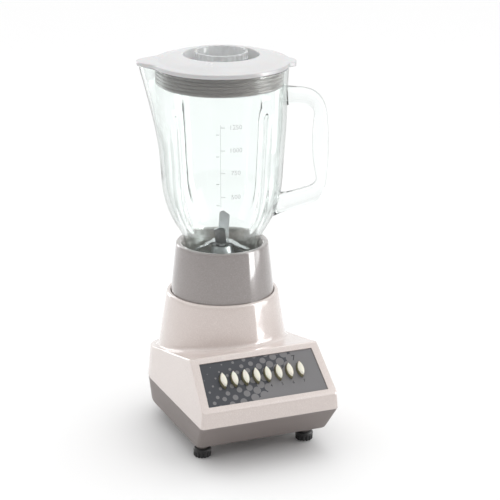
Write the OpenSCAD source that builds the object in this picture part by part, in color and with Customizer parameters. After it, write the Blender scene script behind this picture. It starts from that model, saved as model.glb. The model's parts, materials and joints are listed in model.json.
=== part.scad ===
// Countertop blender: glass jar on a screw-on jar base, standing on a motor base
// with a slanted push-button panel. Millimetres, +Z up, -Y is the front.
// The origin is at the level that the feet stand on, in the middle of the outline seen from above.
// The modules draw every piece about the motor axis, and place() moves it there.

/* [Motor base] */
// Width of the housing at the parting line
base_w = 145.2; // [135:1:180]
// Motor axis to the front edge of the housing
base_front = 127.5; // [120:0.5:155]
// Motor axis to the back edge of the housing
base_back = 73.4; // [72:0.2:88]
// Radius of the two back corners
back_corner_r = 58; // [40:1:60]
// Radius of the two front corners
front_corner_r = 4; // [2:0.5:10]
// Lean of the side and back walls of the housing, in degrees
wall_lean = 5.4; // [2:0.1:7]
// Height of the tray's underside above the table
tray_lift = 19; // [14:0.5:28]
// Height of the bottom tray
tray_h = 27.8; // [24:0.2:34]
// How far the tray's sides lean in on their way down
tray_side_inset = 3.7; // [1:0.1:8]
// How far the tray's front leans in on its way down
tray_front_inset = 20.7; // [6:0.1:26]
// Wall of the housing and of the tray
shell_wall = 2.8; // [2:0.1:3.6]

/* [Motor cone] */
// Outer radius of the cone at its shoulder
cone_top_r = 56.3; // [54:0.1:62]
// Outer radius of the cone at the level of the deck's ridge
cone_foot_r = 62.3; // [60:0.1:66]
// Height of the cone's top lip above the deck's ridge
cone_h = 37.8; // [34:0.2:48]
// Fall of the deck from its ridge towards the back, in degrees
deck_fall = 12; // [0:0.5:13]
// Radius of the rounded shoulder
shoulder_r = 3.8; // [2:0.1:4]
// Depth of the recess that the jar base stands in
seat_depth = 6; // [4:0.5:8]
// Radius of the well around the drive coupling
well_r = 30; // [28:0.5:33]
// Depth of that well under the seat
well_depth = 9; // [8:0.5:11]
// Width, radial thickness and height of the four seat lugs
lug_w = 11; // [8:0.5:12]
lug_t = 4; // [3:0.5:5]
lug_h = 9; // [6:0.5:12]

/* [Control panel] */
// Height of the upright band under the slope
band_h = 16; // [12:0.5:22]
// Slope of the panel from horizontal, in degrees
panel_tilt = 42.7; // [38:0.1:46]
// Length of the sloped face
slope_len = 59.6; // [56:0.1:66]
// Width of the recessed panel plate at its lower and its upper edge, and its height
panel_w = 125.6; // [120:0.2:130]
panel_top_w = 119; // [112:0.2:126]
panel_h = 46.4; // [42:0.2:50]
// Distance from the slope's lower edge to the plate
panel_offset = 6.7; // [5:0.1:9]
// Depth of the recess and thickness of the plate
panel_recess = 2.2; // [1.5:0.1:3]
panel_t = 1.2; // [0.8:0.1:1.4]
// Number of push buttons and the distance between them
button_count = 8; // [8:1:8]
button_pitch = 11.65; // [11:0.05:13]
// Distance from the slope's lower edge to the row of buttons
button_offset = 32; // [28:0.5:34]
// Length and width of a button's pointed oval
button_l = 16.4; // [13:0.2:20]
button_w = 6.8; // [5:0.1:8]
// How far a button stands out of the panel, and its travel
button_proud = 6; // [4.5:0.1:8]
button_travel = 3.5; // [2:0.1:4]

/* [Feet] */
// Radius and height of a rubber foot
foot_r = 8.9; // [7:0.1:11]
foot_h = 9.6; // [7:0.1:12]
// Radius of the stub that the tray stands on
foot_stub_r = 6.2; // [5:0.1:7]
// Half the distance between the front feet, and their distance from the axis
front_foot_x = 54.9; // [48:0.1:60]
front_foot_y = 83; // [78:0.5:92]
// The same for the rear feet
rear_foot_x = 40; // [34:0.5:44]
rear_foot_y = 38; // [30:0.5:42]

/* [Jar] */
// Angle of the handle from +X, in degrees
jar_turn = -22.4; // [-90:0.1:90]
// Height of the glass rim above the cone's lip
jar_h = 231; // [210:1:280]
// Outer radius of the glass at the rim
rim_r = 66.4; // [64:0.1:72]
// Outer radius of the glass where the funnel starts, and its height above the cone's lip
waist_r = 59.6; // [57:0.1:62]
waist_h = 102; // [96:0.5:110]
// Outer radius of the neck, and the height where the funnel meets it
neck_r = 37.4; // [36:0.1:39]
neck_top_h = 52; // [50:0.5:56]
// Height of the neck's lower end above the cone's lip
neck_foot_h = 25; // [23:0.5:29]
// Thickness of the glass
glass_wall = 4; // [3:0.1:5]
// Radius of the four pressed flutes, and how deep they bite
flute_r = 7.5; // [5:0.1:9]
flute_bite = 3; // [2:0.1:4]
// Distance from the rim down to the rounded upper end of the flutes
flute_drop = 48; // [30:1:70]
// Radius of the spout's lip and how far it stands out of the rim
spout_r = 13; // [10:0.5:16]
spout_reach = 14; // [10:0.5:18]
// Distance from the rim down to where the spout starts to leave the wall
spout_drop = 68; // [45:1:80]
// Handle: reach from the axis, width across and thickness of the bar
handle_reach = 105.6; // [98:0.2:112]
handle_w = 18; // [14:0.5:24]
handle_bar = 16; // [12:0.5:18]
// Distance from the rim down to the top of the handle
handle_drop = 22.5; // [16:0.5:30]
// Height of the handle's grip, between the tops of its two arms
grip_h = 100; // [84:1:120]
// Thickness of the two arms, and the slope of the lower one in degrees
handle_arm = 17; // [13:0.5:20]
arm_slope = 18; // [5:1:25]

/* [Jar base] */
// Outer radius at the bottom and at the top
collar_foot_r = 52.1; // [50:0.1:53]
collar_top_r = 46.4; // [44:0.1:48]
// Height of its top rim above the cone's lip
collar_h = 51; // [47:0.5:55]
// Wall of its skirt and of its threaded sleeve
collar_wall = 2.8; // [2:0.1:3.4]
// Radius of the opening at its top rim
collar_mouth_r = 41.6; // [40.8:0.1:42.2]

/* [Blades] */
// Gap between the blade tips' circle and the inside of the neck
blade_tip_gap = 6.4; // [3:0.2:14]
// Width and thickness of a blade
blade_w = 11; // [8:0.5:13]
blade_t = 1.4; // [1:0.1:2]
// Lift of the upper tips and drop of the lower tips, in degrees
upper_tip_lift = 50; // [30:1:60]
lower_tip_drop = 28; // [10:1:40]
// Radius of the blade shaft
blade_shaft_r = 4; // [3:0.1:4.5]

/* [Lid] */
// Outer radius of the lid, and the thickness of its edge
lid_r = 67.8; // [66:0.1:74]
lid_edge_t = 4.2; // [3:0.1:5]
// Rise of the lid from its edge to the finger well
lid_rise = 6.8; // [4:0.1:9]
// Radius and depth of the finger well around the cap
well_mouth_r = 37.4; // [36.5:0.1:40]
finger_well_depth = 12; // [9:0.5:14]
// How far the nose over the spout stands out, and its radius
lid_nose_reach = 16; // [12:0.5:20]
lid_nose_r = 13.5; // [10:0.5:16]
// Reach and width of the lifting tab
lid_tab_reach = 5.6; // [4:0.1:8]
lid_tab_w = 22; // [16:1:30]
// Height and number of rings of the soft seal
seal_h = 18; // [14:0.5:20]
seal_rings = 5; // [3:1:6]
// Outer radius, height above the lid and wall of the filler cap
cap_r = 26.2; // [24:0.1:27]
cap_rise = 2.7; // [1:0.1:9]
cap_wall = 1.8; // [1.5:0.1:2.5]

/* [Motor] */
// Radius of the stack of laminations
stator_r = 41; // [38:0.5:44]
// Radius of the rotor, and the gap around it
rotor_r = 22; // [19:0.5:24]
air_gap = 0.6; // [0.5:0.1:1]
// Radius of the motor shaft
motor_shaft_r = 4; // [3:0.1:5]
// Radius and height of the cooling fan
fan_r = 31; // [26:0.5:34]
fan_h = 9; // [7:0.5:11]

/* [Fits] */
// Radial clearance of a shaft in its bearing
running_gap = 0.05; // [0.03:0.01:0.1]
// Gap around parts that slide or lift out by hand
loose_gap = 0.4; // [0.3:0.05:0.5]
// Gap between fixed parts that are only assembled
assembly_gap = 0.2; // [0.1:0.05:0.3]
// Bore of the cord inlet
cord_bore_r = 3.6; // [3:0.1:4.5]

/* [Hidden] */

$fn = 64;
hull_fn = 32;
eps = 0.01;
slab = 0.2;

ivory = [0.93, 0.90, 0.87];
warm_grey = [0.62, 0.60, 0.58];
slate = [0.30, 0.32, 0.35];
cream = [0.95, 0.93, 0.84];
steel = [0.75, 0.76, 0.78];
dark_steel = [0.38, 0.39, 0.42];
copper = [0.72, 0.43, 0.22];
brass = [0.80, 0.66, 0.33];
black = [0.10, 0.10, 0.10];
glass = [0.80, 0.92, 0.90, 0.4];

// Heights of the motor base
part_z = tray_lift + tray_h;
band_top_z = part_z + band_h;
deck_z = band_top_z + slope_len * sin(panel_tilt);
deck_inset = (deck_z - part_z) * tan(wall_lean);
cone_top_z = deck_z + cone_h;
seat_z = cone_top_z - seat_depth;
well_z = seat_z - well_depth;
tray_floor_z = tray_lift + shell_wall;
cone_flare = (cone_foot_r - cone_top_r) / cone_h;

// Jar and lid
rim_z = cone_top_z + jar_h;
waist_z = cone_top_z + waist_h;
neck_top_z = cone_top_z + neck_top_h;
neck_foot_z = cone_top_z + neck_foot_h;
flute_top_z = rim_z - flute_drop;
spout_foot_z = rim_z - spout_drop;
collar_top_z = cone_top_z + collar_h;
neck_bore_r = neck_r - glass_wall;
seat_ring_z = neck_foot_z - 9;
ring_t = 3.6;
gasket_t = 2.4;
carrier_z = seat_ring_z + ring_t;
flange_t = neck_foot_z - gasket_t - carrier_z;
ring_bore_r = 23;
boss_r = 11;
boss_top_z = neck_top_z - 3;
blade_z = boss_top_z + 2.2;
shaft_top_z = blade_z + 2 * blade_t + 8.5;
lid_z = rim_z + loose_gap;
lid_top_z = lid_z + lid_edge_t + lid_rise;
lid_wall = 2;
nose_x = lid_r + lid_nose_reach - lid_nose_r;
lid_skirt_r = rim_r - glass_wall - 3.6;
finger_well_z = lid_top_z - finger_well_depth;
filler_r = cap_r - 3;
cap_top_z = lid_top_z + cap_rise;
cap_foot_z = finger_well_z - 7;

// Couplings
drive_foot_z = well_z + 1.5;
drive_plate_t = 5;
dog_h = 8;
dog_count = 6;
dog_out_r = 17;
dog_in_r = 11;
dog_w = 4.4;
driven_foot_z = drive_foot_z + drive_plate_t + loose_gap;

// Motor: the brackets hang from the well and stand over the fan, and the stack fills the rest
bearing_r = 9;
bearing_h = 7;
bracket_t = 3;
end_turn_h = 7;
commutator_r = 10.5;
commutator_h = 12;
bracket_top_z = well_z - 10;
stack_top_z = bracket_top_z - bracket_t - bearing_h - 1.5 - end_turn_h;
shaft_foot_z = tray_floor_z + 3;
fan_z = shaft_foot_z + 1.5;
lower_bracket_z = fan_z + fan_h + 1.5;
commutator_z = lower_bracket_z + bracket_t + bearing_h + 1;
stack_z = commutator_z + commutator_h + 0.5 + end_turn_h;
stack_h = stack_top_z - stack_z;
brush_z = commutator_z + commutator_h / 2;
mount_pcr = 38;
mount_r = 4.6;

// Moulded oval of a button, from two arcs
lens_r = (button_l * button_l / 4 + button_w * button_w / 4) / button_w;

// ---------------------------------------------------------------- helpers

// A ring or a plain disc
module ring(r, bore, h) {
    difference() {
        cylinder(r = r, h = h);
        translate([0, 0, -1]) cylinder(r = bore, h = h + 2);
    }
}

// Copies round the Z axis
module around(count, start = 0) {
    for (i = [0 : count - 1]) rotate(start + i * 360 / count) children();
}

// Places its children on the sloped face: X across, Y up the slope, Z out of it
module on_slope() {
    translate([0, -base_front, band_top_z]) rotate([panel_tilt, 0, 0]) children();
}

// Turns its children with the jar, so that +X is along the handle
module with_jar() {
    rotate(jar_turn) children();
}

// Points of an arc in the (radius, height) plane
function arc(cx, cz, r, from, to, steps) =
    [for (i = [0 : steps]) let (a = from + (to - from) * i / steps) [cx + r * cos(a), cz + r * sin(a)]];

// The four corners of a base outline
module base_corners(w, front, back, rf, rb) {
    for (s = [-1, 1]) {
        translate([s * (w / 2 - rf), rf - front]) circle(r = rf, $fn = hull_fn);
        translate([s * (w / 2 - rb), back - rb]) circle(r = rb, $fn = 3 * hull_fn);
    }
}

// Corners of the housing's outline, moved in by an inset, as a thin slab for a loft
module housing_slab(z, inset, front) {
    translate([0, 0, z]) linear_extrude(slab) base_corners(
        base_w - 2 * inset, front, base_back - inset,
        max(front_corner_r - inset, 1), back_corner_r - inset);
}

// Drafted box from the parting line up to the deck, moved in by a wall
module housing_loft(z0, z1, wall) {
    hull() {
        housing_slab(z0, wall, base_front - wall);
        housing_slab(z1 - slab, wall + deck_inset, base_front - wall);
    }
}

// Everything in front of the sloped face, moved in by a wall
module slope_cut(wall) {
    on_slope() translate([-base_w, -100, -wall]) cube([2 * base_w, 300, 100]);
}

// Pointed oval of a button, grown by a gap
module button_oval(grow) {
    intersection_for (s = [-1, 1])
        translate([s * (lens_r - button_w / 2), 0]) circle(r = lens_r + grow);
}

module at_buttons() {
    for (i = [0 : button_count - 1])
        translate([(i - (button_count - 1) / 2) * button_pitch, button_offset, 0]) children();
}

module at_button(i) {
    on_slope() translate([(i - (button_count + 1) / 2) * button_pitch, button_offset, 0]) children();
}

module at_feet() {
    for (s = [-1, 1]) {
        translate([s * front_foot_x, -front_foot_y, 0]) children();
        translate([s * rear_foot_x, rear_foot_y, 0]) children();
    }
}

// Screw with its head down: the head's seat is at z = 0
module screw_up(head_r, head_t, shank_r, len) {
    translate([0, 0, -head_t]) cylinder(r = head_r, h = head_t);
    translate([0, 0, -eps]) cylinder(r = shank_r, h = len);
}

// ---------------------------------------------------------------- motor base

screw_r = 1.7;
pilot_r = screw_r - 0.3;
shank_r = screw_r - 0.5;
pass_r = screw_r + 0.2;
web_t = 2.4;
lug_mid_r = 44.5;
post_r = 4.6;
panel_z = -panel_recess - shell_wall;
switch_w = button_pitch * button_count + 8;
switch_h = 24;
switch_d = 17;
button_skirt = 1.6;
skirt_z = panel_z - button_skirt;
switch_top = skirt_z - button_travel - 1;
switch_post_x = switch_w / 2 + 5;
housing_post_x = base_w / 2 - tray_side_inset - shell_wall - post_r - 2;
front_post_y = 64;
rear_post_x = stator_r + 12;
post_h = 26;
post_z = part_z + 4;

// Places its children at the two posts behind the panel, at a depth along the slope's normal
module at_switch_posts(z) {
    on_slope() for (s = [-1, 1]) translate([s * switch_post_x, button_offset, z]) children();
}

module at_housing_posts() {
    for (s = [-1, 1]) {
        translate([s * housing_post_x, -front_post_y, 0]) children();
        translate([s * rear_post_x, 0, 0]) children();
    }
}

// Everything above the deck, which falls towards the back, moved in by a wall
module deck_cut(wall) {
    translate([0, slope_len * cos(panel_tilt) - base_front, deck_z]) rotate([-deck_fall, 0, 0])
        translate([-base_w, -200, -wall]) cube([2 * base_w, 500, 100]);
}

// Outer radius of the cone at a height
function cone_r(z) = cone_foot_r + (deck_z - z) * cone_flare;

// Solid outer form: drafted box under a slope, with the cone standing on its deck
module housing_outer() {
    difference() {
        housing_loft(part_z, deck_z, 0);
        slope_cut(0);
        deck_cut(0);
    }
    cone_outer();
}

module cone_outer() {
    rotate_extrude($fn = 96) polygon(concat(
        [[0, part_z + 20], [cone_r(part_z + 20), part_z + 20]],
        arc(cone_top_r - shoulder_r, cone_top_z - shoulder_r, shoulder_r, 6, 90, 6),
        [[0, cone_top_z]]));
}

// The room inside: under the deck, up the cone, and round the well
module housing_inner() {
    difference() {
        housing_loft(part_z - 1, deck_z - shell_wall, shell_wall);
        slope_cut(shell_wall + panel_recess);
        deck_cut(shell_wall);
    }
    translate([0, 0, part_z]) cylinder(
        r1 = cone_r(part_z) - shell_wall,
        r2 = cone_r(well_z - shell_wall) - shell_wall,
        h = well_z - shell_wall - part_z);
    translate([0, 0, well_z - shell_wall - 1]) ring(
        cone_top_r - shell_wall - 1.4, well_r + shell_wall, well_depth + 1);
}

// Recess for the jar base, well for the couplings, and the hole for the motor shaft
module seat_well() {
    translate([0, 0, seat_z]) cylinder(r = collar_foot_r + loose_gap, h = 50);
    translate([0, 0, well_z]) cylinder(r = well_r, h = 50);
    translate([0, 0, well_z - 10]) cylinder(r = motor_shaft_r + 3, h = 20);
}

module seat_lugs() {
    with_jar() around(4, 45) translate([lug_mid_r - lug_t / 2, web_t / 2 + loose_gap, seat_z - 1])
        cube([lug_t, lug_w, lug_h + 1]);
}

module panel_plan(gap) {
    foot_x = panel_w / 2 + gap;
    top_x = panel_top_w / 2 + gap;
    foot_y = panel_offset - gap;
    top_y = panel_offset + panel_h + gap;
    polygon([[-foot_x, foot_y], [foot_x, foot_y], [top_x, top_y], [-top_x, top_y]]);
}

module upper_housing() color(ivory) {
    difference() {
        union() {
            difference() {
                housing_outer();
                housing_inner();
            }
            // Posts on ribs for the long screws that come up through the tray
            at_housing_posts() translate([0, 0, post_z]) cylinder(r = post_r - 0.6, h = post_h);
            intersection() {
                for (s = [0, 1]) mirror([s, 0, 0]) {
                    translate([housing_post_x, -front_post_y - web_t / 2, post_z]) cube([20, web_t, post_h]);
                    translate([rear_post_x, -web_t / 2, post_z]) cube([30, web_t, post_h]);
                }
                linear_extrude(400) square([base_w - 2 * deck_inset + 2, 400], center = true);
            }
            // Posts that the motor hangs from
            around(4, 45) translate([mount_pcr, 0, bracket_top_z + 6]) cylinder(
                r = mount_r, h = seat_z - bracket_top_z - 7);
            // Posts behind the panel for the switch bank
            at_switch_posts(switch_top) cylinder(r = 3.6, h = panel_z - switch_top + 1);
            seat_lugs();
        }
        difference() {
            seat_well();
            seat_lugs();
        }
        at_housing_posts() translate([0, 0, part_z]) cylinder(r = pilot_r, h = 18);
        around(4, 45) translate([mount_pcr, 0, bracket_top_z]) cylinder(r = pilot_r, h = 15);
        on_slope() {
            translate([0, 0, -panel_recess]) linear_extrude(20) panel_plan(assembly_gap);
            translate([0, 0, panel_z - 5]) linear_extrude(20) at_buttons() button_oval(loose_gap);
        }
        at_switch_posts(switch_top - 1) cylinder(r = pilot_r, h = 7);
    }
}

module control_panel() color(slate) on_slope() {
    difference() {
        translate([0, 0, -panel_recess]) linear_extrude(panel_t) panel_plan(0);
        translate([0, 0, -panel_recess - 1]) linear_extrude(panel_t + 2) at_buttons() button_oval(loose_gap);
    }
}

// ---------------------------------------------------------------- buttons and switch

stem_w = 3;
stem_l = 6;
stem_foot = switch_top - 6;
button_top = button_proud - panel_recess + panel_t;
cap_shell = 1.1;

module button(i) color(cream) at_button(i) {
    difference() {
        translate([0, 0, skirt_z]) linear_extrude(button_top - skirt_z) button_oval(0);
        // Hollow back of the moulded cap, around its stem
        translate([0, 0, skirt_z - 1]) linear_extrude(5) difference() {
            button_oval(-cap_shell);
            square([stem_w, stem_l], center = true);
        }
    }
    translate([-stem_w / 2, -stem_l / 2, stem_foot]) cube([stem_w, stem_l, skirt_z - stem_foot + eps]);
}

bar_t = 1.2;
bar_h = 10;
bar_z = switch_top - 4.8;
bar_travel = 1.5;
terminal_pitch = button_pitch * 0.96;
switch_wall = 1.5;
ear_z = switch_top - 2.5;

module switch_bank() color(black) on_slope() {
    difference() {
        union() {
            translate([-switch_w / 2, button_offset - switch_h / 2, switch_top - switch_d])
                cube([switch_w, switch_h, switch_d]);
            translate([-switch_post_x - 5, button_offset - 5, ear_z]) cube([2 * switch_post_x + 10, 10, 2.3]);
        }
        // Cavity that the stems, the springs and the latch bar share
        translate([-switch_w / 2 + switch_wall, button_offset - switch_h / 2 + switch_wall,
                   switch_top - switch_d + switch_wall])
            cube([switch_w - 2 * switch_wall, switch_h - 2 * switch_wall, switch_d - 2 * switch_wall - 1]);
        // Openings for the stems
        at_buttons() translate([-stem_w / 2 - loose_gap, -stem_l / 2 - loose_gap, switch_top - 5])
            cube([stem_w + 2 * loose_gap, stem_l + 2 * loose_gap, 10]);
        for (s = [-1, 1])
            translate([s * switch_post_x, button_offset, ear_z - 1]) cylinder(r = pass_r, h = 6);
    }
}

// Points of one ring of the spring wire, and the helix that they make
function helix_ring(r, wire, a, z, sides) =
    [for (k = [0 : sides - 1]) let (b = 360 * k / sides, q = r + wire * cos(b))
        [q * cos(a), q * sin(a), z + wire * sin(b)]];

module coil(r, wire, h, turns, sides = 5, steps = 10) {
    n = turns * steps;
    rise = (h - 2 * wire) / n;
    points = [for (i = [0 : n]) each helix_ring(r, wire, 360 * i / steps, wire + rise * i, sides)];
    skin = [for (i = [0 : n - 1], k = [0 : sides - 1])
        let (m = (k + 1) % sides, p = i * sides, q = p + sides)
        each [[q + k, q + m, p + m], [q + k, p + m, p + k]]];
    first = [for (k = [0 : sides - 1]) k];
    last = [for (k = [sides - 1 : -1 : 0]) n * sides + k];
    polyhedron(points, concat(skin, [first], [last]));
}

module button_springs() color(steel) on_slope() at_buttons()
    translate([0, 0, switch_top - switch_d + switch_wall + 0.1])
        coil(1.8, 0.3, stem_foot - switch_top + switch_d - switch_wall - 0.2, 4);

module latch_bar() color(steel) on_slope() {
    difference() {
        translate([-switch_w / 2 + switch_wall + bar_travel + 0.5, button_offset - bar_h / 2, bar_z])
            cube([switch_w - 2 * switch_wall - bar_travel - 1, bar_h, bar_t]);
        at_buttons() translate([-stem_w / 2 - 1, -stem_l / 2 - 1, bar_z - 1])
            cube([stem_w + bar_travel + 2, stem_l + 2, bar_t + 2]);
    }
}

module switch_terminals() color(brass) on_slope() for (i = [0 : button_count])
    translate([(i - button_count / 2) * terminal_pitch - 0.4, button_offset - 3, switch_top - switch_d - 6])
        cube([0.8, 6, 5.9]);

module switch_screws() color(steel) at_switch_posts(ear_z) screw_up(3, 1.6, shank_r, 7.5);

// ---------------------------------------------------------------- motor

module motor_shaft() color(steel) translate([0, 0, shaft_foot_z])
    cylinder(r = motor_shaft_r, h = drive_foot_z + drive_plate_t - 1 - shaft_foot_z);

// Coupling with upright dogs, fixed on the end of the motor shaft
module drive_coupling() color(dark_steel) {
    translate([0, 0, drive_foot_z]) difference() {
        cylinder(r = dog_out_r + 1, h = drive_plate_t);
        translate([0, 0, -1]) cylinder(r = motor_shaft_r, h = drive_plate_t);
    }
    around(dog_count) translate([dog_in_r, -dog_w / 2, drive_foot_z + drive_plate_t - 1])
        cube([dog_out_r - dog_in_r, dog_w, dog_h + 1]);
}

// The coupling on the blade shaft, whose dogs hang between those of the other
module driven_coupling() color(black) {
    translate([0, 0, driven_foot_z + dog_h + loose_gap]) difference() {
        cylinder(r = dog_out_r + 1, h = drive_plate_t);
        translate([0, 0, -1]) cylinder(r = blade_shaft_r - 0.6, h = drive_plate_t + 2);
    }
    around(dog_count, 180 / dog_count) translate([dog_in_r, -dog_w / 2, driven_foot_z])
        cube([dog_out_r - dog_in_r, dog_w, dog_h + loose_gap + 1]);
}

slot_count = 12;

module rotor_core() color(dark_steel) translate([0, 0, stack_z]) linear_extrude(stack_h) difference() {
    circle(r = rotor_r);
    circle(r = motor_shaft_r);
    around(slot_count) translate([rotor_r - 8, -1.5]) square([6.5, 3]);
    around(slot_count) translate([rotor_r - 3, -0.7]) square([6, 1.4]);
}

// The wire in the slots, joined by the end turns above and below the core
module rotor_windings() color(copper) {
    around(slot_count) translate([rotor_r - 7.8, -1.3, stack_z - 1]) cube([6, 2.6, stack_h + 2]);
    for (z = [stack_z - end_turn_h, stack_top_z]) translate([0, 0, z]) rotate_extrude()
        polygon([[8, 0], [rotor_r - 3.5, 0], [rotor_r - 1.6, 1.6], [rotor_r - 1.6, end_turn_h - 1.6],
                 [rotor_r - 3.5, end_turn_h], [8, end_turn_h]]);
}

module commutator() color(copper) translate([0, 0, commutator_z])
    linear_extrude(commutator_h) difference() {
        circle(r = commutator_r);
        circle(r = motor_shaft_r);
        around(2 * slot_count) translate([commutator_r - 1.2, -0.25]) square([3, 0.5]);
    }

fan_hub_r = 8;
blade_gap = 1.5;

module cooling_fan() color(black) translate([0, 0, fan_z]) {
    difference() {
        union() {
            cylinder(r = fan_hub_r, h = fan_h);
            translate([0, 0, fan_h - blade_gap]) cylinder(r = fan_r, h = blade_gap);
        }
        translate([0, 0, -1]) cylinder(r = motor_shaft_r, h = fan_h + 2);
    }
    around(9) translate([fan_hub_r - 0.5, -0.8, 0])
        cube([fan_r - fan_hub_r - 0.5, 1.6, fan_h - blade_gap + 0.5]);
}

yoke_t = 8;
shoe_t = 3.9;
coil_y0 = 10.5;
coil_y1 = 20;
coil_end_y = 30;
coil_end_h = 6;
bolt_x = stator_r - yoke_t / 2;
window_x = stator_r - yoke_t;

module at_stack_bolts() {
    for (s = [-1, 1]) translate([s * bolt_x, 0, 0]) children();
}

// Laminations: side yokes, two pole shoes front and back, windows for the coils
module stator_core() color(dark_steel) translate([0, 0, stack_z]) linear_extrude(stack_h) difference() {
    intersection() {
        circle(r = stator_r);
        square([2 * stator_r, 2 * stator_r - 10], center = true);
    }
    circle(r = rotor_r + air_gap);
    difference() {
        square([2 * window_x, 2 * coil_y1 + 2], center = true);
        circle(r = rotor_r + air_gap + shoe_t);
        square([2 * (rotor_r - 8), 80], center = true);
    }
    square([2 * window_x, 2 * coil_y0 - 3], center = true);
    at_stack_bolts() circle(r = 2.1);
}

// Coil round each pole: two legs in the windows, and a turn outside each end of the stack
module field_coils() color(copper) for (s = [0, 180]) rotate(s) {
    for (m = [-1, 1]) {
        translate([m * (window_x - 3.2) - 2.6, coil_y0, stack_z - coil_end_h]) cube(
            [5.2, coil_y1 - coil_y0, stack_h + 2 * coil_end_h]);
    }
    for (z = [stack_z - coil_end_h, stack_top_z + 0.2]) translate([0, 0, z])
        linear_extrude(coil_end_h - 0.2) difference() {
            translate([0.6 - window_x, coil_y0]) square([2 * window_x - 1.2, coil_end_y - coil_y0]);
            translate([5.8 - window_x, 0]) square([2 * window_x - 11.6, coil_y1 + 3.5]);
        }
}

// Plan of a bracket: a hub, a bar to the stack bolts and, above, four arms to the posts
module bracket_plan(arm) {
    difference() {
        union() {
            circle(r = bearing_r + 4);
            square([2 * bolt_x + 7, 12], center = true);
            if (arm > 0) for (a = [45, 135]) rotate(a) square([2 * arm, 12], center = true);
        }
        circle(r = bearing_r - 3);
        if (arm > 0) around(4, 45) translate([mount_pcr, 0]) circle(r = 3.2);
    }
}

module upper_bracket() color(steel) {
    translate([0, 0, bracket_top_z - bracket_t]) linear_extrude(bracket_t) bracket_plan(mount_pcr + 6);
    translate([0, 0, bracket_top_z - bracket_t - bearing_h]) ring(bearing_r + 2, bearing_r, bearing_h + 1);
    at_stack_bolts() translate([0, 0, stack_top_z]) cylinder(r = 3.2, h = bracket_top_z - stack_top_z - 1);
}

module lower_bracket() color(steel) {
    translate([0, 0, lower_bracket_z]) linear_extrude(bracket_t) bracket_plan(0);
    translate([0, 0, lower_bracket_z + bracket_t - 1]) ring(bearing_r + 2, bearing_r, bearing_h + 1);
    at_stack_bolts() translate([0, 0, lower_bracket_z + 1])
        cylinder(r = 3.2, h = stack_z - lower_bracket_z - 1);
    // Arms with pads that carry the brush holders
    translate([-5, -34, lower_bracket_z]) difference() {
        cube([10, 68, bracket_t]);
        translate([-1, 28, -1]) cube([12, 12, bracket_t + 2]);
    }
    for (s = [-1, 1]) translate([-5, s * 30 - 4, lower_bracket_z + 1])
        cube([10, 8, brush_z - holder_w / 2 - lower_bracket_z - 1]);
}

module bearing() color(brass) ring(bearing_r, motor_shaft_r + running_gap, bearing_h);

module upper_bearing() translate([0, 0, bracket_top_z - bracket_t - bearing_h]) bearing();

module lower_bearing() translate([0, 0, lower_bracket_z + bracket_t]) bearing();

brush_w = 5;
brush_len = 14;
holder_w = brush_w + 2.8;
brush_start = commutator_r + 0.15;

module at_brushes() {
    for (a = [90, 270]) rotate(a) translate([brush_start, 0, brush_z]) children();
}

module brush_holders() color(brass) at_brushes() difference() {
    translate([3, -holder_w / 2, -holder_w / 2]) cube([26, holder_w, holder_w]);
    translate([-1, -brush_w / 2 - 0.15, -brush_w / 2 - 0.15]) cube([28.5, brush_w + 0.3, brush_w + 0.3]);
}

module carbon_brushes() color(black) at_brushes()
    translate([0, -brush_w / 2, -brush_w / 2]) cube([brush_len, brush_w, brush_w]);

module brush_springs() color(steel) at_brushes()
    translate([brush_len + 0.3, 0, 0]) rotate([0, 90, 0]) coil(1.7, 0.3, 12, 6);

// Rubber collars in the ears of the upper bracket
module motor_grommets() color(black) around(4, 45) translate([mount_pcr, 0, bracket_top_z])
    difference() {
        union() {
            cylinder(r = 5.2, h = 5.8);
            translate([0, 0, -bracket_t - eps]) cylinder(r = 3.1, h = bracket_t + 1);
            translate([0, 0, -bracket_t - 2.2]) cylinder(r = 5.2, h = 2.2);
        }
        translate([0, 0, -10]) cylinder(r = pass_r, h = 20);
    }

module motor_screws() color(steel) around(4, 45)
    translate([mount_pcr, 0, bracket_top_z - bracket_t - 2.2]) screw_up(4, 2, shank_r, 19);

// ---------------------------------------------------------------- tray and feet

gland_z = tray_lift + 13;
gland_y = base_back - 1;
gland_len = 16;
gland_r = 6;
gland_lip_r = 8.2;
vent_count = 7;
vent_pitch = 8;
vent_l = 48;
vent_w = 3.2;
reveal = 0.3;

// Leaning box of the tray between two heights, moved in by a wall
module tray_loft(wall, z0, z1) {
    hull() {
        translate([0, 0, z0]) linear_extrude(slab) base_corners(
            base_w - 2 * tray_side_inset - 2 * wall, base_front - tray_front_inset - wall,
            base_back - tray_side_inset - wall, max(front_corner_r + 2 - wall, 1),
            back_corner_r - tray_side_inset - wall);
        translate([0, 0, z1 - slab]) linear_extrude(slab) base_corners(
            base_w - 2 * reveal - 2 * wall, base_front - reveal - wall, base_back - reveal - wall,
            max(front_corner_r - wall, 1), back_corner_r - wall);
    }
}

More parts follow.
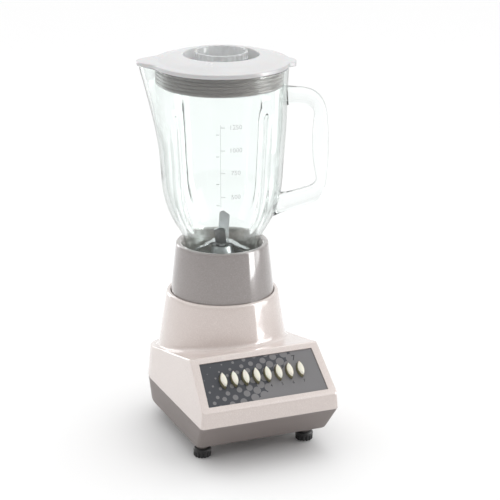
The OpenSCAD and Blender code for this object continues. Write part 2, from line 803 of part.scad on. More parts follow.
module bottom_tray() color(warm_grey) {
    difference() {
        union() {
            difference() {
                tray_loft(0, tray_lift, part_z);
                tray_loft(shell_wall, tray_floor_z, part_z + 1);
            }
            at_feet() translate([0, 0, foot_h]) cylinder(r = foot_stub_r, h = tray_floor_z - foot_h - 1);
            at_housing_posts() translate([0, 0, tray_lift + 1])
                cylinder(r = post_r, h = part_z + 2.8 - tray_lift);
        }
        // Air slots under the fan
        for (i = [0 : vent_count - 1])
            translate([-vent_l / 2, (i - (vent_count - 1) / 2) * vent_pitch - vent_w / 2, tray_lift - 1])
                cube([vent_l, vent_w, shell_wall + 2]);
        at_feet() translate([0, 0, foot_h - 1]) cylinder(r = pilot_r, h = 9);
        at_housing_posts() {
            translate([0, 0, tray_lift - 1]) cylinder(r = post_r - 0.9, h = part_z - tray_lift - 6);
            translate([0, 0, tray_lift]) cylinder(r = pass_r, h = part_z);
        }
        translate([0, base_back - 20, gland_z]) rotate([-90, 0, 0]) cylinder(r = gland_r, h = 40);
    }
}

// Rubber bush in the back wall that a mains lead passes through
module cord_gland() color(black) translate([0, gland_y - gland_len / 2, gland_z]) rotate([-90, 0, 0])
    rotate_extrude() polygon([
        [cord_bore_r, 0], [gland_lip_r, 0], [gland_lip_r, 2], [gland_r - 0.1, 2], [gland_r - 0.1, 7.5],
        [gland_lip_r, 9], [gland_lip_r, 10.6], [cord_bore_r + 2, gland_len], [cord_bore_r, gland_len]]);

module terminal_block() color(cream) difference() {
    translate([-14, 44, tray_floor_z]) cube([28, 9, 9]);
    for (i = [-1, 0, 1]) translate([i * 9, 48.5, tray_floor_z + 3]) cylinder(r = 2, h = 8);
}

module housing_screws() color(steel) at_housing_posts()
    translate([0, 0, part_z - 7]) screw_up(3.4, 2.2, shank_r, 20);

knurl_count = 36;

module rubber_foot() {
    difference() {
        union() {
            cylinder(r = foot_r - 0.6, h = foot_h);
            translate([0, 0, 1]) linear_extrude(foot_h - 2) {
                circle(r = foot_r - 0.3);
                rotate(2) around(knurl_count) translate([foot_r - 1.3, -0.45]) square([1.3, 0.9]);
            }
        }
        translate([0, 0, -1]) cylinder(r = 4, h = 5);
        translate([0, 0, 1]) cylinder(r = pass_r, h = foot_h + 1);
    }
}

module foot(side_x, y) color(black) translate([side_x, y, 0]) rubber_foot();

module foot_screws() color(steel) at_feet() translate([0, 0, 4]) screw_up(3.2, 2, shank_r, 13);

// ---------------------------------------------------------------- jar

wall_lean_jar = (rim_r - waist_r) / (rim_z - waist_z);

// Outer radius of the glass wall at a height above the waist
function wall_r(z) = waist_r + (z - waist_z) * wall_lean_jar;

// Profile of the glass, moved in by a wall: rim, wall, rounded waist, funnel, neck
function jar_profile(inset, top) = concat(
    [[wall_r(top) - inset, top], [waist_r + 0.4 - inset, waist_z + 8]],
    [[waist_r - 0.5 - inset, waist_z + 1], [waist_r - 2 - inset, waist_z - 6.5]],
    [[waist_r - 4.8 - inset, waist_z - 14], [waist_r - 8.6 - inset, waist_z - 22]],
    [[neck_r + 7.3 - inset, neck_top_z + 15], [neck_r + 3.6 - inset, neck_top_z + 7.5]],
    [[neck_r + 1 - inset, neck_top_z + 2.5], [neck_r - inset, neck_top_z - 1.5]],
    [[neck_r - inset, neck_foot_z]]);

module jar_turned(inset, top, foot) {
    rotate_extrude($fn = 96) polygon(concat(
        jar_profile(inset, top), [[neck_r - inset, foot], [0, foot], [0, top]]));
}

// The spout swells out of the wall as a lofted nose
module spout(inset, top) {
    hull() {
        translate([-(rim_r + spout_reach - spout_r), 0, rim_z - 4]) cylinder(
            r = spout_r - inset, h = top - rim_z + 4, $fn = hull_fn);
        translate([-(wall_r(spout_foot_z) - spout_r + 1), 0, spout_foot_z]) cylinder(
            r = spout_r - inset, h = 1, $fn = hull_fn);
        translate([-(rim_r - spout_r - 10), 0, rim_z - 4]) cylinder(
            r = spout_r - inset + 4, h = top - rim_z + 4, $fn = hull_fn);
    }
}

// The flutes lean a little less than the wall, so they deepen downwards
flute_toe = 0.4;
flute_lean = atan(wall_lean_jar) - flute_toe;

module flutes(r, sink) {
    around(4, 45) translate([wall_r(flute_top_z) - sink + r, 0, flute_top_z]) {
        rotate([0, 180 + flute_lean, 0]) cylinder(r = r, h = flute_top_z - neck_top_z - 12);
        translate([0, 0, -0.2]) rotate([0, flute_lean, 0]) cylinder(r1 = r + 0.01, r2 = r * 0.4, h = r * 0.7);
    }
}

handle_top_z = rim_z - handle_drop;
grip_low_z = handle_top_z - grip_h;
handle_root = 45;
outer_corner_r = 24;
inner_corner_r = 8;

// Outline of a D with a level top arm and a sloped lower arm: reach, top, grip bottom and corners
module handle_outline(reach, top, low, top_r, low_r) {
    arm_x = reach - low_r + low_r * sin(arm_slope);
    arm_z = low - low_r * cos(arm_slope);
    polygon(concat(
        [[handle_root, top]],
        arc(reach - top_r, top - top_r, top_r, 90, 0, 8),
        arc(reach - low_r, low, low_r, 0, arm_slope - 90, 8),
        [[handle_root, arm_z - (arm_x - handle_root) * tan(arm_slope)]]));
}

module handle() {
    translate([0, handle_w / 2, 0]) rotate([90, 0, 0]) linear_extrude(handle_w) difference() {
        handle_outline(handle_reach, handle_top_z, grip_low_z, outer_corner_r, outer_corner_r - 6);
        handle_outline(
            handle_reach - handle_bar, handle_top_z - handle_arm, grip_low_z + 7,
            inner_corner_r, inner_corner_r);
    }
}

module glass_jar() color(glass) with_jar() {
    difference() {
        union() {
            jar_turned(0, rim_z, neck_foot_z);
            spout(0, rim_z);
            handle();
        }
        difference() {
            union() {
                jar_turned(glass_wall, rim_z + 1, neck_foot_z - 1);
                spout(glass_wall, rim_z + 1);
            }
            flutes(flute_r + glass_wall, flute_bite + glass_wall);
        }
        flutes(flute_r, flute_bite);
    }
}

sleeve_r = neck_r + assembly_gap;
skirt_in_r = collar_foot_r - collar_wall;

// Screw-on jar base: leaning skirt, threaded sleeve, ring that carries the blade unit
module jar_base() color(warm_grey) with_jar() {
    difference() {
        union() {
            difference() {
                rotate_extrude($fn = 96) polygon(concat(
                    [[0, seat_z + loose_gap], [collar_foot_r, seat_z + loose_gap]],
                    [[collar_foot_r, cone_top_z]],
                    arc(collar_top_r - 2.4, collar_top_z - 2.4, 2.4, 6, 180, 8),
                    [[collar_mouth_r, collar_top_z - 3], [0, collar_top_z - 3]]));
                rotate_extrude($fn = 96) polygon([
                    [0, seat_z - 1], [skirt_in_r, seat_z - 1], [skirt_in_r, cone_top_z],
                    [collar_top_r - collar_wall - 0.3, collar_top_z - 6], [0, collar_top_z - 6]]);
            }
            translate([0, 0, seat_ring_z])
                cylinder(r = sleeve_r + collar_wall, h = collar_top_z - 4 - seat_ring_z);
            around(4, 45) translate([ring_bore_r + 2, -web_t / 2, seat_z + 3])
                cube([skirt_in_r - ring_bore_r - 1.4, web_t, seat_ring_z - seat_z]);
            translate([0, 0, seat_z + 3]) ring(sleeve_r + collar_wall, sleeve_r, seat_ring_z - seat_z);
        }
        translate([0, 0, seat_ring_z + ring_t]) cylinder(r = sleeve_r, h = 60);
        translate([0, 0, seat_z - 1]) cylinder(r = ring_bore_r, h = 60);
        translate([0, 0, collar_top_z - 8]) cylinder(r1 = sleeve_r, r2 = collar_mouth_r + 0.2, h = 8.1);
    }
}

module jar_gasket() color(black) translate([0, 0, neck_foot_z - gasket_t])
    ring(neck_r - 0.6, neck_bore_r - 1, gasket_t);

// Blade carrier: flange on the jar base's ring, with a tall boss for the bushing
module blade_carrier() color(steel) difference() {
    union() {
        translate([0, 0, carrier_z]) cylinder(r = neck_r - 0.6, h = flange_t);
        translate([0, 0, carrier_z]) cylinder(r1 = boss_r + 5, r2 = boss_r - 1, h = boss_top_z - carrier_z);
        translate([0, 0, seat_ring_z - 2]) cylinder(r = boss_r + 2, h = carrier_z - seat_ring_z + 3);
    }
    translate([0, 0, 100]) cylinder(r = bushing_r, h = 200);
}

bushing_r = 6.8;

module blade_bushing() color(brass) translate([0, 0, seat_ring_z - 1])
    ring(bushing_r, blade_shaft_r + running_gap, boss_top_z - seat_ring_z - 3);

module shaft_seal() color(black) translate([0, 0, boss_top_z - 4 + 0.2])
    ring(bushing_r, blade_shaft_r + running_gap, 3.6);

// Blade shaft: round in the bushing, with a smaller end for the coupling and the blades
module blade_shaft() color(steel) {
    translate([0, 0, seat_ring_z - 2.5]) cylinder(r = blade_shaft_r, h = blade_z - seat_ring_z + 2.5);
    translate([0, 0, driven_foot_z + dog_h + 1])
        cylinder(r = blade_shaft_r - 0.6, h = seat_ring_z - driven_foot_z - dog_h - 3);
    translate([0, 0, blade_z - 1]) cylinder(r = blade_shaft_r - 1.2, h = shaft_top_z - blade_z + 1);
}

// Two-ended blade: flat middle, ends bent up or down
module blade(tilt) {
    difference() {
        union() {
            translate([-10, -blade_w / 2, 0]) cube([20, blade_w, blade_t]);
            for (a = [0, 180]) rotate(a) translate([bend_x, 0, 0]) rotate([0, -tilt, 0])
                linear_extrude(blade_t) polygon([
                    [0, -blade_w / 2], [tip(tilt) - 5, -blade_w / 2], [tip(tilt), blade_w * 0.1],
                    [tip(tilt) - 1, blade_w / 2 - 1], [tip(tilt) - 3, blade_w / 2], [0, blade_w / 2]]);
        }
        translate([0, 0, -1]) cylinder(r = blade_shaft_r - 1.2, h = blade_t + 2);
    }
}

blade_reach = neck_r - glass_wall - blade_tip_gap;

// Where the flat middle of a blade ends, and the length of its bent end
bend_x = 9.4;
function tip(tilt) = (blade_reach - bend_x) / cos(tilt);

module upper_blade() color(steel) translate([0, 0, blade_z + blade_t + 0.05])
    rotate(62) blade(upper_tip_lift);

module lower_blade() color(steel) translate([0, 0, blade_z]) rotate(-28) blade(-lower_tip_drop);

module blade_washer() color(steel) translate([0, 0, blade_z + 2 * blade_t + 0.1])
    ring(6, blade_shaft_r - 1.2, 1);

module blade_nut() color(steel) translate([0, 0, blade_z + 2 * blade_t + 1.1]) difference() {
    union() {
        cylinder(r = 5.6, h = 3.6, $fn = 6);
        cylinder(r = 4.3, h = 6);
    }
    translate([0, 0, -1]) cylinder(r = blade_shaft_r - 1.2, h = 20);
}

// ---------------------------------------------------------------- lid

module lid_plan(r) {
    circle(r = r, $fn = 96);
    translate([-nose_x, 0]) circle(r = lid_nose_r + r - lid_r);
    polygon([[-nose_x - 4, r - lid_r + lid_nose_r - 0.7], [-40, 40], [-40, -40],
             [-nose_x - 4, lid_r - r - lid_nose_r + 0.7]]);
}

module lid() color([0.85, 0.85, 0.84, 0.8]) with_jar() difference() {
    union() {
        translate([0, 0, lid_z]) linear_extrude(lid_edge_t) lid_plan(lid_r);
        translate([0, 0, lid_z + lid_edge_t - eps])
            cylinder(r1 = lid_r - 1, r2 = well_mouth_r + 1, h = lid_rise);
        translate([rim_r + loose_gap, -lid_tab_w / 2, lid_z - 1.6])
            cube([lid_r + lid_tab_reach - rim_r - loose_gap, lid_tab_w, 2.6]);
        // Skirt that carries the seal
        translate([0, 0, rim_z - seal_h - 1]) cylinder(r = lid_skirt_r, h = seal_h + 2);
        translate([0, 0, finger_well_z - lid_wall]) cylinder(r = well_mouth_r + 1, h = finger_well_depth);
    }
    // Inside of the skirt, around the well
    difference() {
        translate([0, 0, rim_z - seal_h - 5])
            cylinder(r = lid_skirt_r - lid_wall, h = lid_z + lid_edge_t - lid_wall - rim_z + seal_h + 5);
        translate([0, 0, finger_well_z - lid_wall]) cylinder(r = well_mouth_r + 1, h = 40);
    }
    translate([0, 0, finger_well_z])
        cylinder(r1 = well_mouth_r - 2.4, r2 = well_mouth_r, h = finger_well_depth + 1);
    translate([0, 0, finger_well_z - 10]) cylinder(r = filler_r + loose_gap, h = 20);
}

seal_root_r = rim_r - glass_wall - 2.4;
seal_tip_r = rim_r - glass_wall - loose_gap - seal_h * wall_lean_jar;

module lid_seal() color([0.45, 0.42, 0.40]) with_jar() {
    pitch = seal_h / seal_rings;
    translate([0, 0, rim_z - seal_h]) difference() {
        union() {
            cylinder(r = seal_root_r, h = seal_h - 0.4);
            for (i = [0 : seal_rings - 1]) translate([0, 0, (i + 0.25) * pitch]) cylinder(
                r1 = seal_root_r, r2 = seal_tip_r, h = pitch * 0.55);
        }
        translate([0, 0, -1]) cylinder(r = lid_skirt_r, h = seal_h + 2);
    }
}

module filler_cap() color([0.9, 0.93, 0.93, 0.5]) with_jar() difference() {
    union() {
        translate([0, 0, finger_well_z + loose_gap])
            cylinder(r = cap_r, h = cap_top_z - finger_well_z - loose_gap);
        translate([0, 0, cap_foot_z]) cylinder(r = filler_r, h = finger_well_z - cap_foot_z + 2);
    }
    translate([0, 0, cap_foot_z + cap_wall]) cylinder(r = filler_r - cap_wall, h = 60);
}

// ---------------------------------------------------------------- nodes

// Middle of the outline seen from above: the handle and the lid's nose, the panel and the gland
left_x = -nose_x * cos(jar_turn) - lid_nose_r;
right_x = handle_reach * cos(jar_turn) + handle_w / 2 * abs(sin(jar_turn));
back_y = gland_y + gland_len / 2;

module place() {
    translate([-(left_x + right_x) / 2, (base_front - back_y) / 2, 0]) children();
}

place() filler_cap();
place() lid();
place() lid_seal();
place() glass_jar();
place() jar_base();
place() jar_gasket();
place() blade_carrier();
place() blade_bushing();
place() shaft_seal();
place() blade_shaft();
place() upper_blade();
place() lower_blade();
place() blade_washer();
place() blade_nut();
place() driven_coupling();
place() upper_housing();
place() control_panel();
place() button(1);  // button_1
place() button(2);  // button_2
place() button(3);  // button_3
place() button(4);  // button_4
place() button(5);  // button_5
place() button(6);  // button_6
place() button(7);  // button_7
place() button(8);  // button_8
place() button_springs();
place() switch_bank();
place() latch_bar();
place() switch_terminals();
place() switch_screws();
place() drive_coupling();
place() motor_shaft();
place() rotor_core();
place() rotor_windings();
place() commutator();
place() cooling_fan();
place() stator_core();
place() field_coils();
place() upper_bracket();
place() lower_bracket();
place() upper_bearing();
place() lower_bearing();
place() brush_holders();
place() carbon_brushes();
place() brush_springs();
place() motor_grommets();
place() motor_screws();
place() bottom_tray();
place() cord_gland();
place() terminal_block();
place() housing_screws();
place() foot(-front_foot_x, -front_foot_y);  // foot_front_left
place() foot(front_foot_x, -front_foot_y);  // foot_front_right
place() foot(-rear_foot_x, rear_foot_y);  // foot_rear_left
place() foot(rear_foot_x, rear_foot_y);  // foot_rear_right
place() foot_screws();
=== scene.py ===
"""Countertop blender: glass jar on a screw-on jar base, on a motor base with eight push buttons.

The shapes are worked out in millimetres about the motor axis, and piece() turns them into metres in the frame.
"""

import json
import math

import bpy
import bmesh
import numpy as np
from mathutils import Matrix, Vector


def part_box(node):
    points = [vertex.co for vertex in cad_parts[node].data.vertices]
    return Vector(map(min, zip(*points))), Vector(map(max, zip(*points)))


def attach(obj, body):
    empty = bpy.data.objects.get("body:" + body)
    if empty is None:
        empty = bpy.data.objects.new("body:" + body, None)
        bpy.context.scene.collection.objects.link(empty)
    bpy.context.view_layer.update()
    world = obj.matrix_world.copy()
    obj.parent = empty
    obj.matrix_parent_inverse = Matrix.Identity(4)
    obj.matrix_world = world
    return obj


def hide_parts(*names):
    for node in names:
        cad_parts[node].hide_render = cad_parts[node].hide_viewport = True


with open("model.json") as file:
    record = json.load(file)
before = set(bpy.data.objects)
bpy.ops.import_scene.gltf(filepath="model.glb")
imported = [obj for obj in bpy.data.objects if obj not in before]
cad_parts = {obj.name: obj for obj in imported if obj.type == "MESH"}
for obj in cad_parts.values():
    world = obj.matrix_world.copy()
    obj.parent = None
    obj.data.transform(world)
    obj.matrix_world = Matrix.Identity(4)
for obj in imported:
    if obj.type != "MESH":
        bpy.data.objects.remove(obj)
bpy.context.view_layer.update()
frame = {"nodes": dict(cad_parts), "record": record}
NODES = frame["nodes"]
SLOT_OF = {s["node"]: s["material_slot"] for s in frame["record"]["subparts"]}

# ------------------------------------------------------------------ places and sizes, in millimetres
MM = 0.001


def box_mm(node):
    """Lowest and highest corner of a CAD node, in millimetres."""
    return tuple(np.array(corner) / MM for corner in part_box(node))


AXIS = (box_mm("motor_shaft")[0] + box_mm("motor_shaft")[1])[:2] / 2
JAR_TURN = math.radians(-22.4)

# Motor base
PART_Z = box_mm("upper_housing")[0][2]
HALF_W = 72.6
FRONT, BACK = 127.5, 73.4
CORNER_FRONT, CORNER_BACK = 4.0, 58.0
WALL_LEAN = math.radians(5.4)
SLOPE = math.radians(42.7)
SLOPE_LEN = 59.6
BAND_TOP = PART_Z + 16
DECK_Z = BAND_TOP + SLOPE_LEN * math.sin(SLOPE)
DECK_INSET = (DECK_Z - PART_Z) * math.tan(WALL_LEAN)
RIDGE_Y = SLOPE_LEN * math.cos(SLOPE) - FRONT
DECK_FALL = math.tan(math.radians(12))
WALL = 2.8
CONE_TOP_R, CONE_FOOT_R = 56.3, 62.3
CONE_TOP_Z = DECK_Z + 37.8
SEAT_Z = CONE_TOP_Z - 6
WELL_R, WELL_Z = 30.0, SEAT_Z - 9
SEAT_R = 52.5
SHAFT_HOLE_R = 7.0
TRAY_Z = 19.0
TRAY_SIDE, TRAY_FRONT = 3.7, 20.7
REVEAL = 0.3
FEET = {"foot_front_left": (-54.9, -83), "foot_front_right": (54.9, -83),
        "foot_rear_left": (-40, 38), "foot_rear_right": (40, 38)}
FOOT_R, FOOT_H, STUB_R = 8.9, 9.6, 6.2
GLAND_R, GLAND_Z = 6.0, 32.0

# Control panel, along the slope from its lower edge
PANEL_FOOT, PANEL_LEN = 6.7, 46.4
PANEL_HALF, PANEL_TOP_HALF = 62.8, 59.5
PANEL_DEPTH, PANEL_T = 2.2, 1.2
BUTTONS, BUTTON_PITCH, BUTTON_ROW = 8, 11.65, 32.0
BUTTON_L, BUTTON_W, BUTTON_TOP = 16.4, 6.8, 5.0
BUTTON_FOOT = -PANEL_DEPTH - WALL - 1.6
BUTTON_GAP = 0.4

# Jar and lid, with +X along the handle
RIM_Z = box_mm("glass_jar")[1][2]
NECK_FOOT_Z = box_mm("glass_jar")[0][2]
GLASS_WALL = 4.0
COLLAR_FOOT_R, COLLAR_TOP_R = 52.1, 46.4
COLLAR_FOOT_Z, COLLAR_TOP_Z = box_mm("jar_base")[0][2], box_mm("jar_base")[1][2]
COLLAR_MOUTH_R = 41.6
SLEEVE_R, SEAT_RING_Z, RING_BORE_R = 37.6, NECK_FOOT_Z - 9, 23.0
LID_R, LID_Z = 67.8, RIM_Z + 0.4
LID_TOP_Z = LID_Z + 11
LID_NOSE, LID_TAB = 16.0, 5.6
FINGER_WELL_R, FINGER_WELL_Z = 37.4, LID_TOP_Z - 12
SEAL_FOOT_Z, SEAL_ROOT_R, SEAL_TIP_R, SKIRT_R = RIM_Z - 18, 60.0, 61.0, 58.8
CAP_R, FILLER_R = 26.2, 23.2
CAP_TOP_Z, CAP_FOOT_Z = box_mm("filler_cap")[1][2], box_mm("filler_cap")[0][2]

# ------------------------------------------------------------------ camera, floor and light
CAMERA_AZIMUTH = math.radians(-22.42)
CAMERA_ELEVATION = math.radians(18.11)
CAMERA_DISTANCE = 1.9576
CAMERA_LENS = 139.9
AIM = Vector(((AXIS[0] + 25.83) * MM, (AXIS[1] - 10.66) * MM, 0.18161))


def toward(azimuth, elevation):
    """Unit vector from the object towards a viewer at that azimuth and elevation."""
    return Vector((math.sin(azimuth) * math.cos(elevation),
                   -math.cos(azimuth) * math.cos(elevation), math.sin(elevation)))


def add_camera():
    data = bpy.data.cameras.new("camera")
    data.lens = CAMERA_LENS
    data.sensor_width = 36
    data.clip_end = 50
    camera = bpy.data.objects.new("camera", data)
    bpy.context.scene.collection.objects.link(camera)
    back = toward(CAMERA_AZIMUTH, CAMERA_ELEVATION)
    camera.location = AIM + back * CAMERA_DISTANCE
    camera.rotation_mode = "QUATERNION"
    camera.rotation_quaternion = (-back).to_track_quat("-Z", "Y")
    bpy.context.scene.camera = camera


def add_softbox(name, azimuth, elevation, distance, size, power, only_gloss=False):
    """Rectangular lamp that faces the object. Azimuths are measured from the camera's."""
    data = bpy.data.lights.new(name, "AREA")
    data.shape = "RECTANGLE"
    data.size, data.size_y = size
    data.energy = power
    lamp = bpy.data.objects.new(name, data)
    bpy.context.scene.collection.objects.link(lamp)
    away = toward(CAMERA_AZIMUTH + math.radians(azimuth), math.radians(elevation))
    lamp.location = Vector((AXIS[0] * MM, AXIS[1] * MM, 0.2)) + away * distance
    lamp.rotation_mode = "QUATERNION"
    lamp.rotation_quaternion = (-away).to_track_quat("-Z", "Y")
    lamp.visible_diffuse = not only_gloss


def add_room():
    """White room: bright above and behind the object, dim on the camera's side, so that gloss and glass read."""
    world = bpy.data.worlds.new("studio")
    bpy.context.scene.world = world
    world.use_nodes = True
    tree = world.node_tree
    tree.nodes.clear()
    place = tree.nodes.new("ShaderNodeTexCoord").outputs["Generated"]

    def share_of(direction, low, high, span):
        """0 to span, as a ray turns from the low to the high cosine with a direction."""
        along = tree.nodes.new("ShaderNodeVectorMath")
        along.operation = "DOT_PRODUCT"
        along.inputs[1].default_value = direction
        tree.links.new(place, along.inputs[0])
        fade = tree.nodes.new("ShaderNodeMapRange")
        fade.interpolation_type = "SMOOTHSTEP"
        for label, value in (("From Min", low), ("From Max", high), ("To Min", 0.0), ("To Max", span)):
            fade.inputs[label].default_value = value
        tree.links.new(along.outputs["Value"], fade.inputs["Value"])
        return fade.outputs["Result"]

    total = tree.nodes.new("ShaderNodeMath")
    total.operation = "ADD"
    tree.links.new(share_of(-toward(CAMERA_AZIMUTH, 0), -0.2, 0.5, 0.62), total.inputs[0])
    tree.links.new(share_of(Vector((0, 0, 1)), 0.1, 0.9, 0.75), total.inputs[1])
    base = tree.nodes.new("ShaderNodeMath")
    base.operation = "ADD"
    base.inputs[1].default_value = 0.34
    tree.links.new(total.outputs[0], base.inputs[0])
    background = tree.nodes.new("ShaderNodeBackground")
    tree.links.new(base.outputs[0], background.inputs["Color"])
    out = tree.nodes.new("ShaderNodeOutputWorld")
    tree.links.new(background.outputs[0], out.inputs["Surface"])


def add_floor():
    """Plain pale floor that runs on far behind the object."""
    reach = 7.0
    mesh = bpy.data.meshes.new("floor")
    mesh.from_pydata([(-reach, -reach, 0), (reach, -reach, 0), (reach, reach, 0), (-reach, reach, 0)],
                     [], [(0, 1, 2, 3)])
    floor = bpy.data.objects.new("floor", mesh)
    bpy.context.scene.collection.objects.link(floor)
    paint = bpy.data.materials.new("floor_white")
    paint.use_nodes = True
    shader = paint.node_tree.nodes["Principled BSDF"]
    shader.inputs["Base Color"].default_value = (0.86, 0.86, 0.86, 1)
    shader.inputs["Roughness"].default_value = 0.85
    shader.inputs["Specular IOR Level"].default_value = 0.1
    mesh.materials.append(paint)


def set_tones():
    """Plain tone curve, so that white stays white."""
    view = bpy.context.scene.view_settings
    view.view_transform = "Standard"
    view.look = "None"
    view.exposure = 0.0


# ------------------------------------------------------------------ effects that several finishes use


class Group:
    """Small helper that writes a shader node group with named sockets."""

    def __init__(self, name, inputs, outputs):
        self.tree = bpy.data.node_groups.new(name, "ShaderNodeTree")
        for label, kind, value in inputs:
            socket = self.tree.interface.new_socket(label, in_out="INPUT", socket_type=kind)
            if value is not None:
                socket.default_value = value
        for label, kind in outputs:
            self.tree.interface.new_socket(label, in_out="OUTPUT", socket_type=kind)
        self.source = self.tree.nodes.new("NodeGroupInput")
        self.sink = self.tree.nodes.new("NodeGroupOutput")

    def give(self, label):
        return self.source.outputs[label]

    def take(self, label, socket):
        self.tree.links.new(socket, self.sink.inputs[label])

    def link(self, a, b):
        self.tree.links.new(a, b)

    def node(self, kind, **settings):
        made = self.tree.nodes.new(kind)
        for key, value in settings.items():
            setattr(made, key, value)
        return made

    def math(self, operation, a, b=None, clamp=False):
        made = self.node("ShaderNodeMath", operation=operation, use_clamp=clamp)
        for socket, value in zip(made.inputs, (a, b)):
            if value is None:
                continue
            if isinstance(value, (int, float)):
                socket.default_value = value
            else:
                self.link(value, socket)
        return made.outputs[0]

    def noise(self, vector, scale, detail=2.0, roughness=0.5):
        made = self.node("ShaderNodeTexNoise")
        self.link(vector, made.inputs["Vector"])
        made.inputs["Detail"].default_value = detail
        made.inputs["Roughness"].default_value = roughness
        if isinstance(scale, (int, float)):
            made.inputs["Scale"].default_value = scale
        else:
            self.link(scale, made.inputs["Scale"])
        return made.outputs["Fac"]


FLOAT, COLOUR, VECTOR = "NodeSocketFloat", "NodeSocketColor", "NodeSocketVector"


def make_handling_marks():
    """Faint smears and dust: a roughness that wanders, and a mask."""
    g = Group("handling_marks",
              [("Roughness", FLOAT, 0.3), ("Spread", FLOAT, 0.06), ("Scale", FLOAT, 30.0)],
              [("Roughness", FLOAT), ("Mask", FLOAT)])
    place = g.node("ShaderNodeTexCoord").outputs["Object"]
    broad = g.noise(place, g.give("Scale"), 4.0, 0.6)
    fine = g.noise(place, 900.0, 2.0)
    both = g.math("ADD", g.math("MULTIPLY", broad, 0.75), g.math("MULTIPLY", fine, 0.25))
    swing = g.math("MULTIPLY", g.math("SUBTRACT", both, 0.5), g.give("Spread"))
    g.take("Roughness", g.math("ADD", g.give("Roughness"), g.math("MULTIPLY", swing, 2.0), clamp=True))
    g.take("Mask", both)
    return g.tree


def make_moulded_skin():
    """Slight orange peel of moulded plastic and a tone that drifts by a few per cent."""
    g = Group("moulded_skin",
              [("Color", COLOUR, None), ("Tone", FLOAT, 0.04), ("Peel Scale", FLOAT, 260.0), ("Peel", FLOAT, 0.3)],
              [("Color", COLOUR), ("Height", FLOAT)])
    place = g.node("ShaderNodeTexCoord").outputs["Object"]
    drift = g.noise(place, 14.0, 3.0)
    shade = g.node("ShaderNodeHueSaturation")
    g.link(g.give("Color"), shade.inputs["Color"])
    offset = g.math("MULTIPLY", g.math("SUBTRACT", drift, 0.5), g.math("MULTIPLY", g.give("Tone"), 2.0))
    g.link(g.math("ADD", offset, 1.0), shade.inputs["Value"])
    g.take("Color", shade.outputs["Color"])
    peel = g.noise(place, g.give("Peel Scale"), 2.0)
    g.take("Height", g.math("MULTIPLY", peel, g.give("Peel")))
    return g.tree


def make_edge_rub():
    """Mask of the outer edges, where hands and cloths have rubbed, broken up by noise."""
    g = Group("edge_rub", [("Start", FLOAT, 0.53), ("Amount", FLOAT, 0.5)], [("Mask", FLOAT)])
    edge = g.node("ShaderNodeNewGeometry").outputs["Pointiness"]
    ramp = g.node("ShaderNodeMapRange")
    g.link(edge, ramp.inputs["Value"])
    g.link(g.give("Start"), ramp.inputs["From Min"])
    g.link(g.math("ADD", g.give("Start"), 0.08), ramp.inputs["From Max"])
    place = g.node("ShaderNodeTexCoord").outputs["Object"]
    broken = g.math("MULTIPLY", g.noise(place, 160.0, 3.0), 1.4)
    g.take("Mask", g.math("MULTIPLY", g.math("MULTIPLY", ramp.outputs["Result"], broken), g.give("Amount"), clamp=True))
    return g.tree


def make_pearl_flake():
    """Fine mica flakes in a paint or plastic: a tone per flake and their share of the sheen."""
    g = Group("pearl_flake", [("Color", COLOUR, None), ("Flake Color", COLOUR, None), ("Amount", FLOAT, 0.2)],
              [("Color", COLOUR), ("Mask", FLOAT)])
    place = g.node("ShaderNodeTexCoord").outputs["Object"]
    cells = g.node("ShaderNodeTexVoronoi")
    cells.inputs["Scale"].default_value = 2600.0
    g.link(place, cells.inputs["Vector"])
    grey = g.node("ShaderNodeSeparateColor")
    g.link(cells.outputs["Color"], grey.inputs["Color"])
    mask = g.math("MULTIPLY", g.math("POWER", grey.outputs["Red"], 3.0), g.give("Amount"))
    mix = g.node("ShaderNodeMix", data_type="RGBA")
    g.link(mask, mix.inputs["Factor"])
    g.link(g.give("Color"), mix.inputs["A"])
    g.link(g.give("Flake Color"), mix.inputs["B"])
    g.take("Color", mix.outputs["Result"])
    g.take("Mask", mask)
    return g.tree


def make_brushed_lines():
    """Fine scratches along X, Y or Z: stretch one of the three scales to choose."""
    g = Group("brushed_lines", [("Stretch", VECTOR, None), ("Strength", FLOAT, 0.5)],
              [("Height", FLOAT), ("Mask", FLOAT)])
    place = g.node("ShaderNodeTexCoord").outputs["Object"]
    stretch = g.node("ShaderNodeVectorMath", operation="MULTIPLY")
    g.link(place, stretch.inputs[0])
    g.link(g.give("Stretch"), stretch.inputs[1])
    lines = g.noise(stretch.outputs[0], 1.0, 3.0, 0.7)
    g.take("Height", g.math("MULTIPLY", lines, g.give("Strength")))
    g.take("Mask", lines)
    return g.tree


EFFECTS = {}


def make_effects():
    EFFECTS["marks"] = make_handling_marks()
    EFFECTS["skin"] = make_moulded_skin()
    EFFECTS["rub"] = make_edge_rub()
    EFFECTS["flake"] = make_pearl_flake()
    EFFECTS["brushed"] = make_brushed_lines()


# ------------------------------------------------------------------ finishes


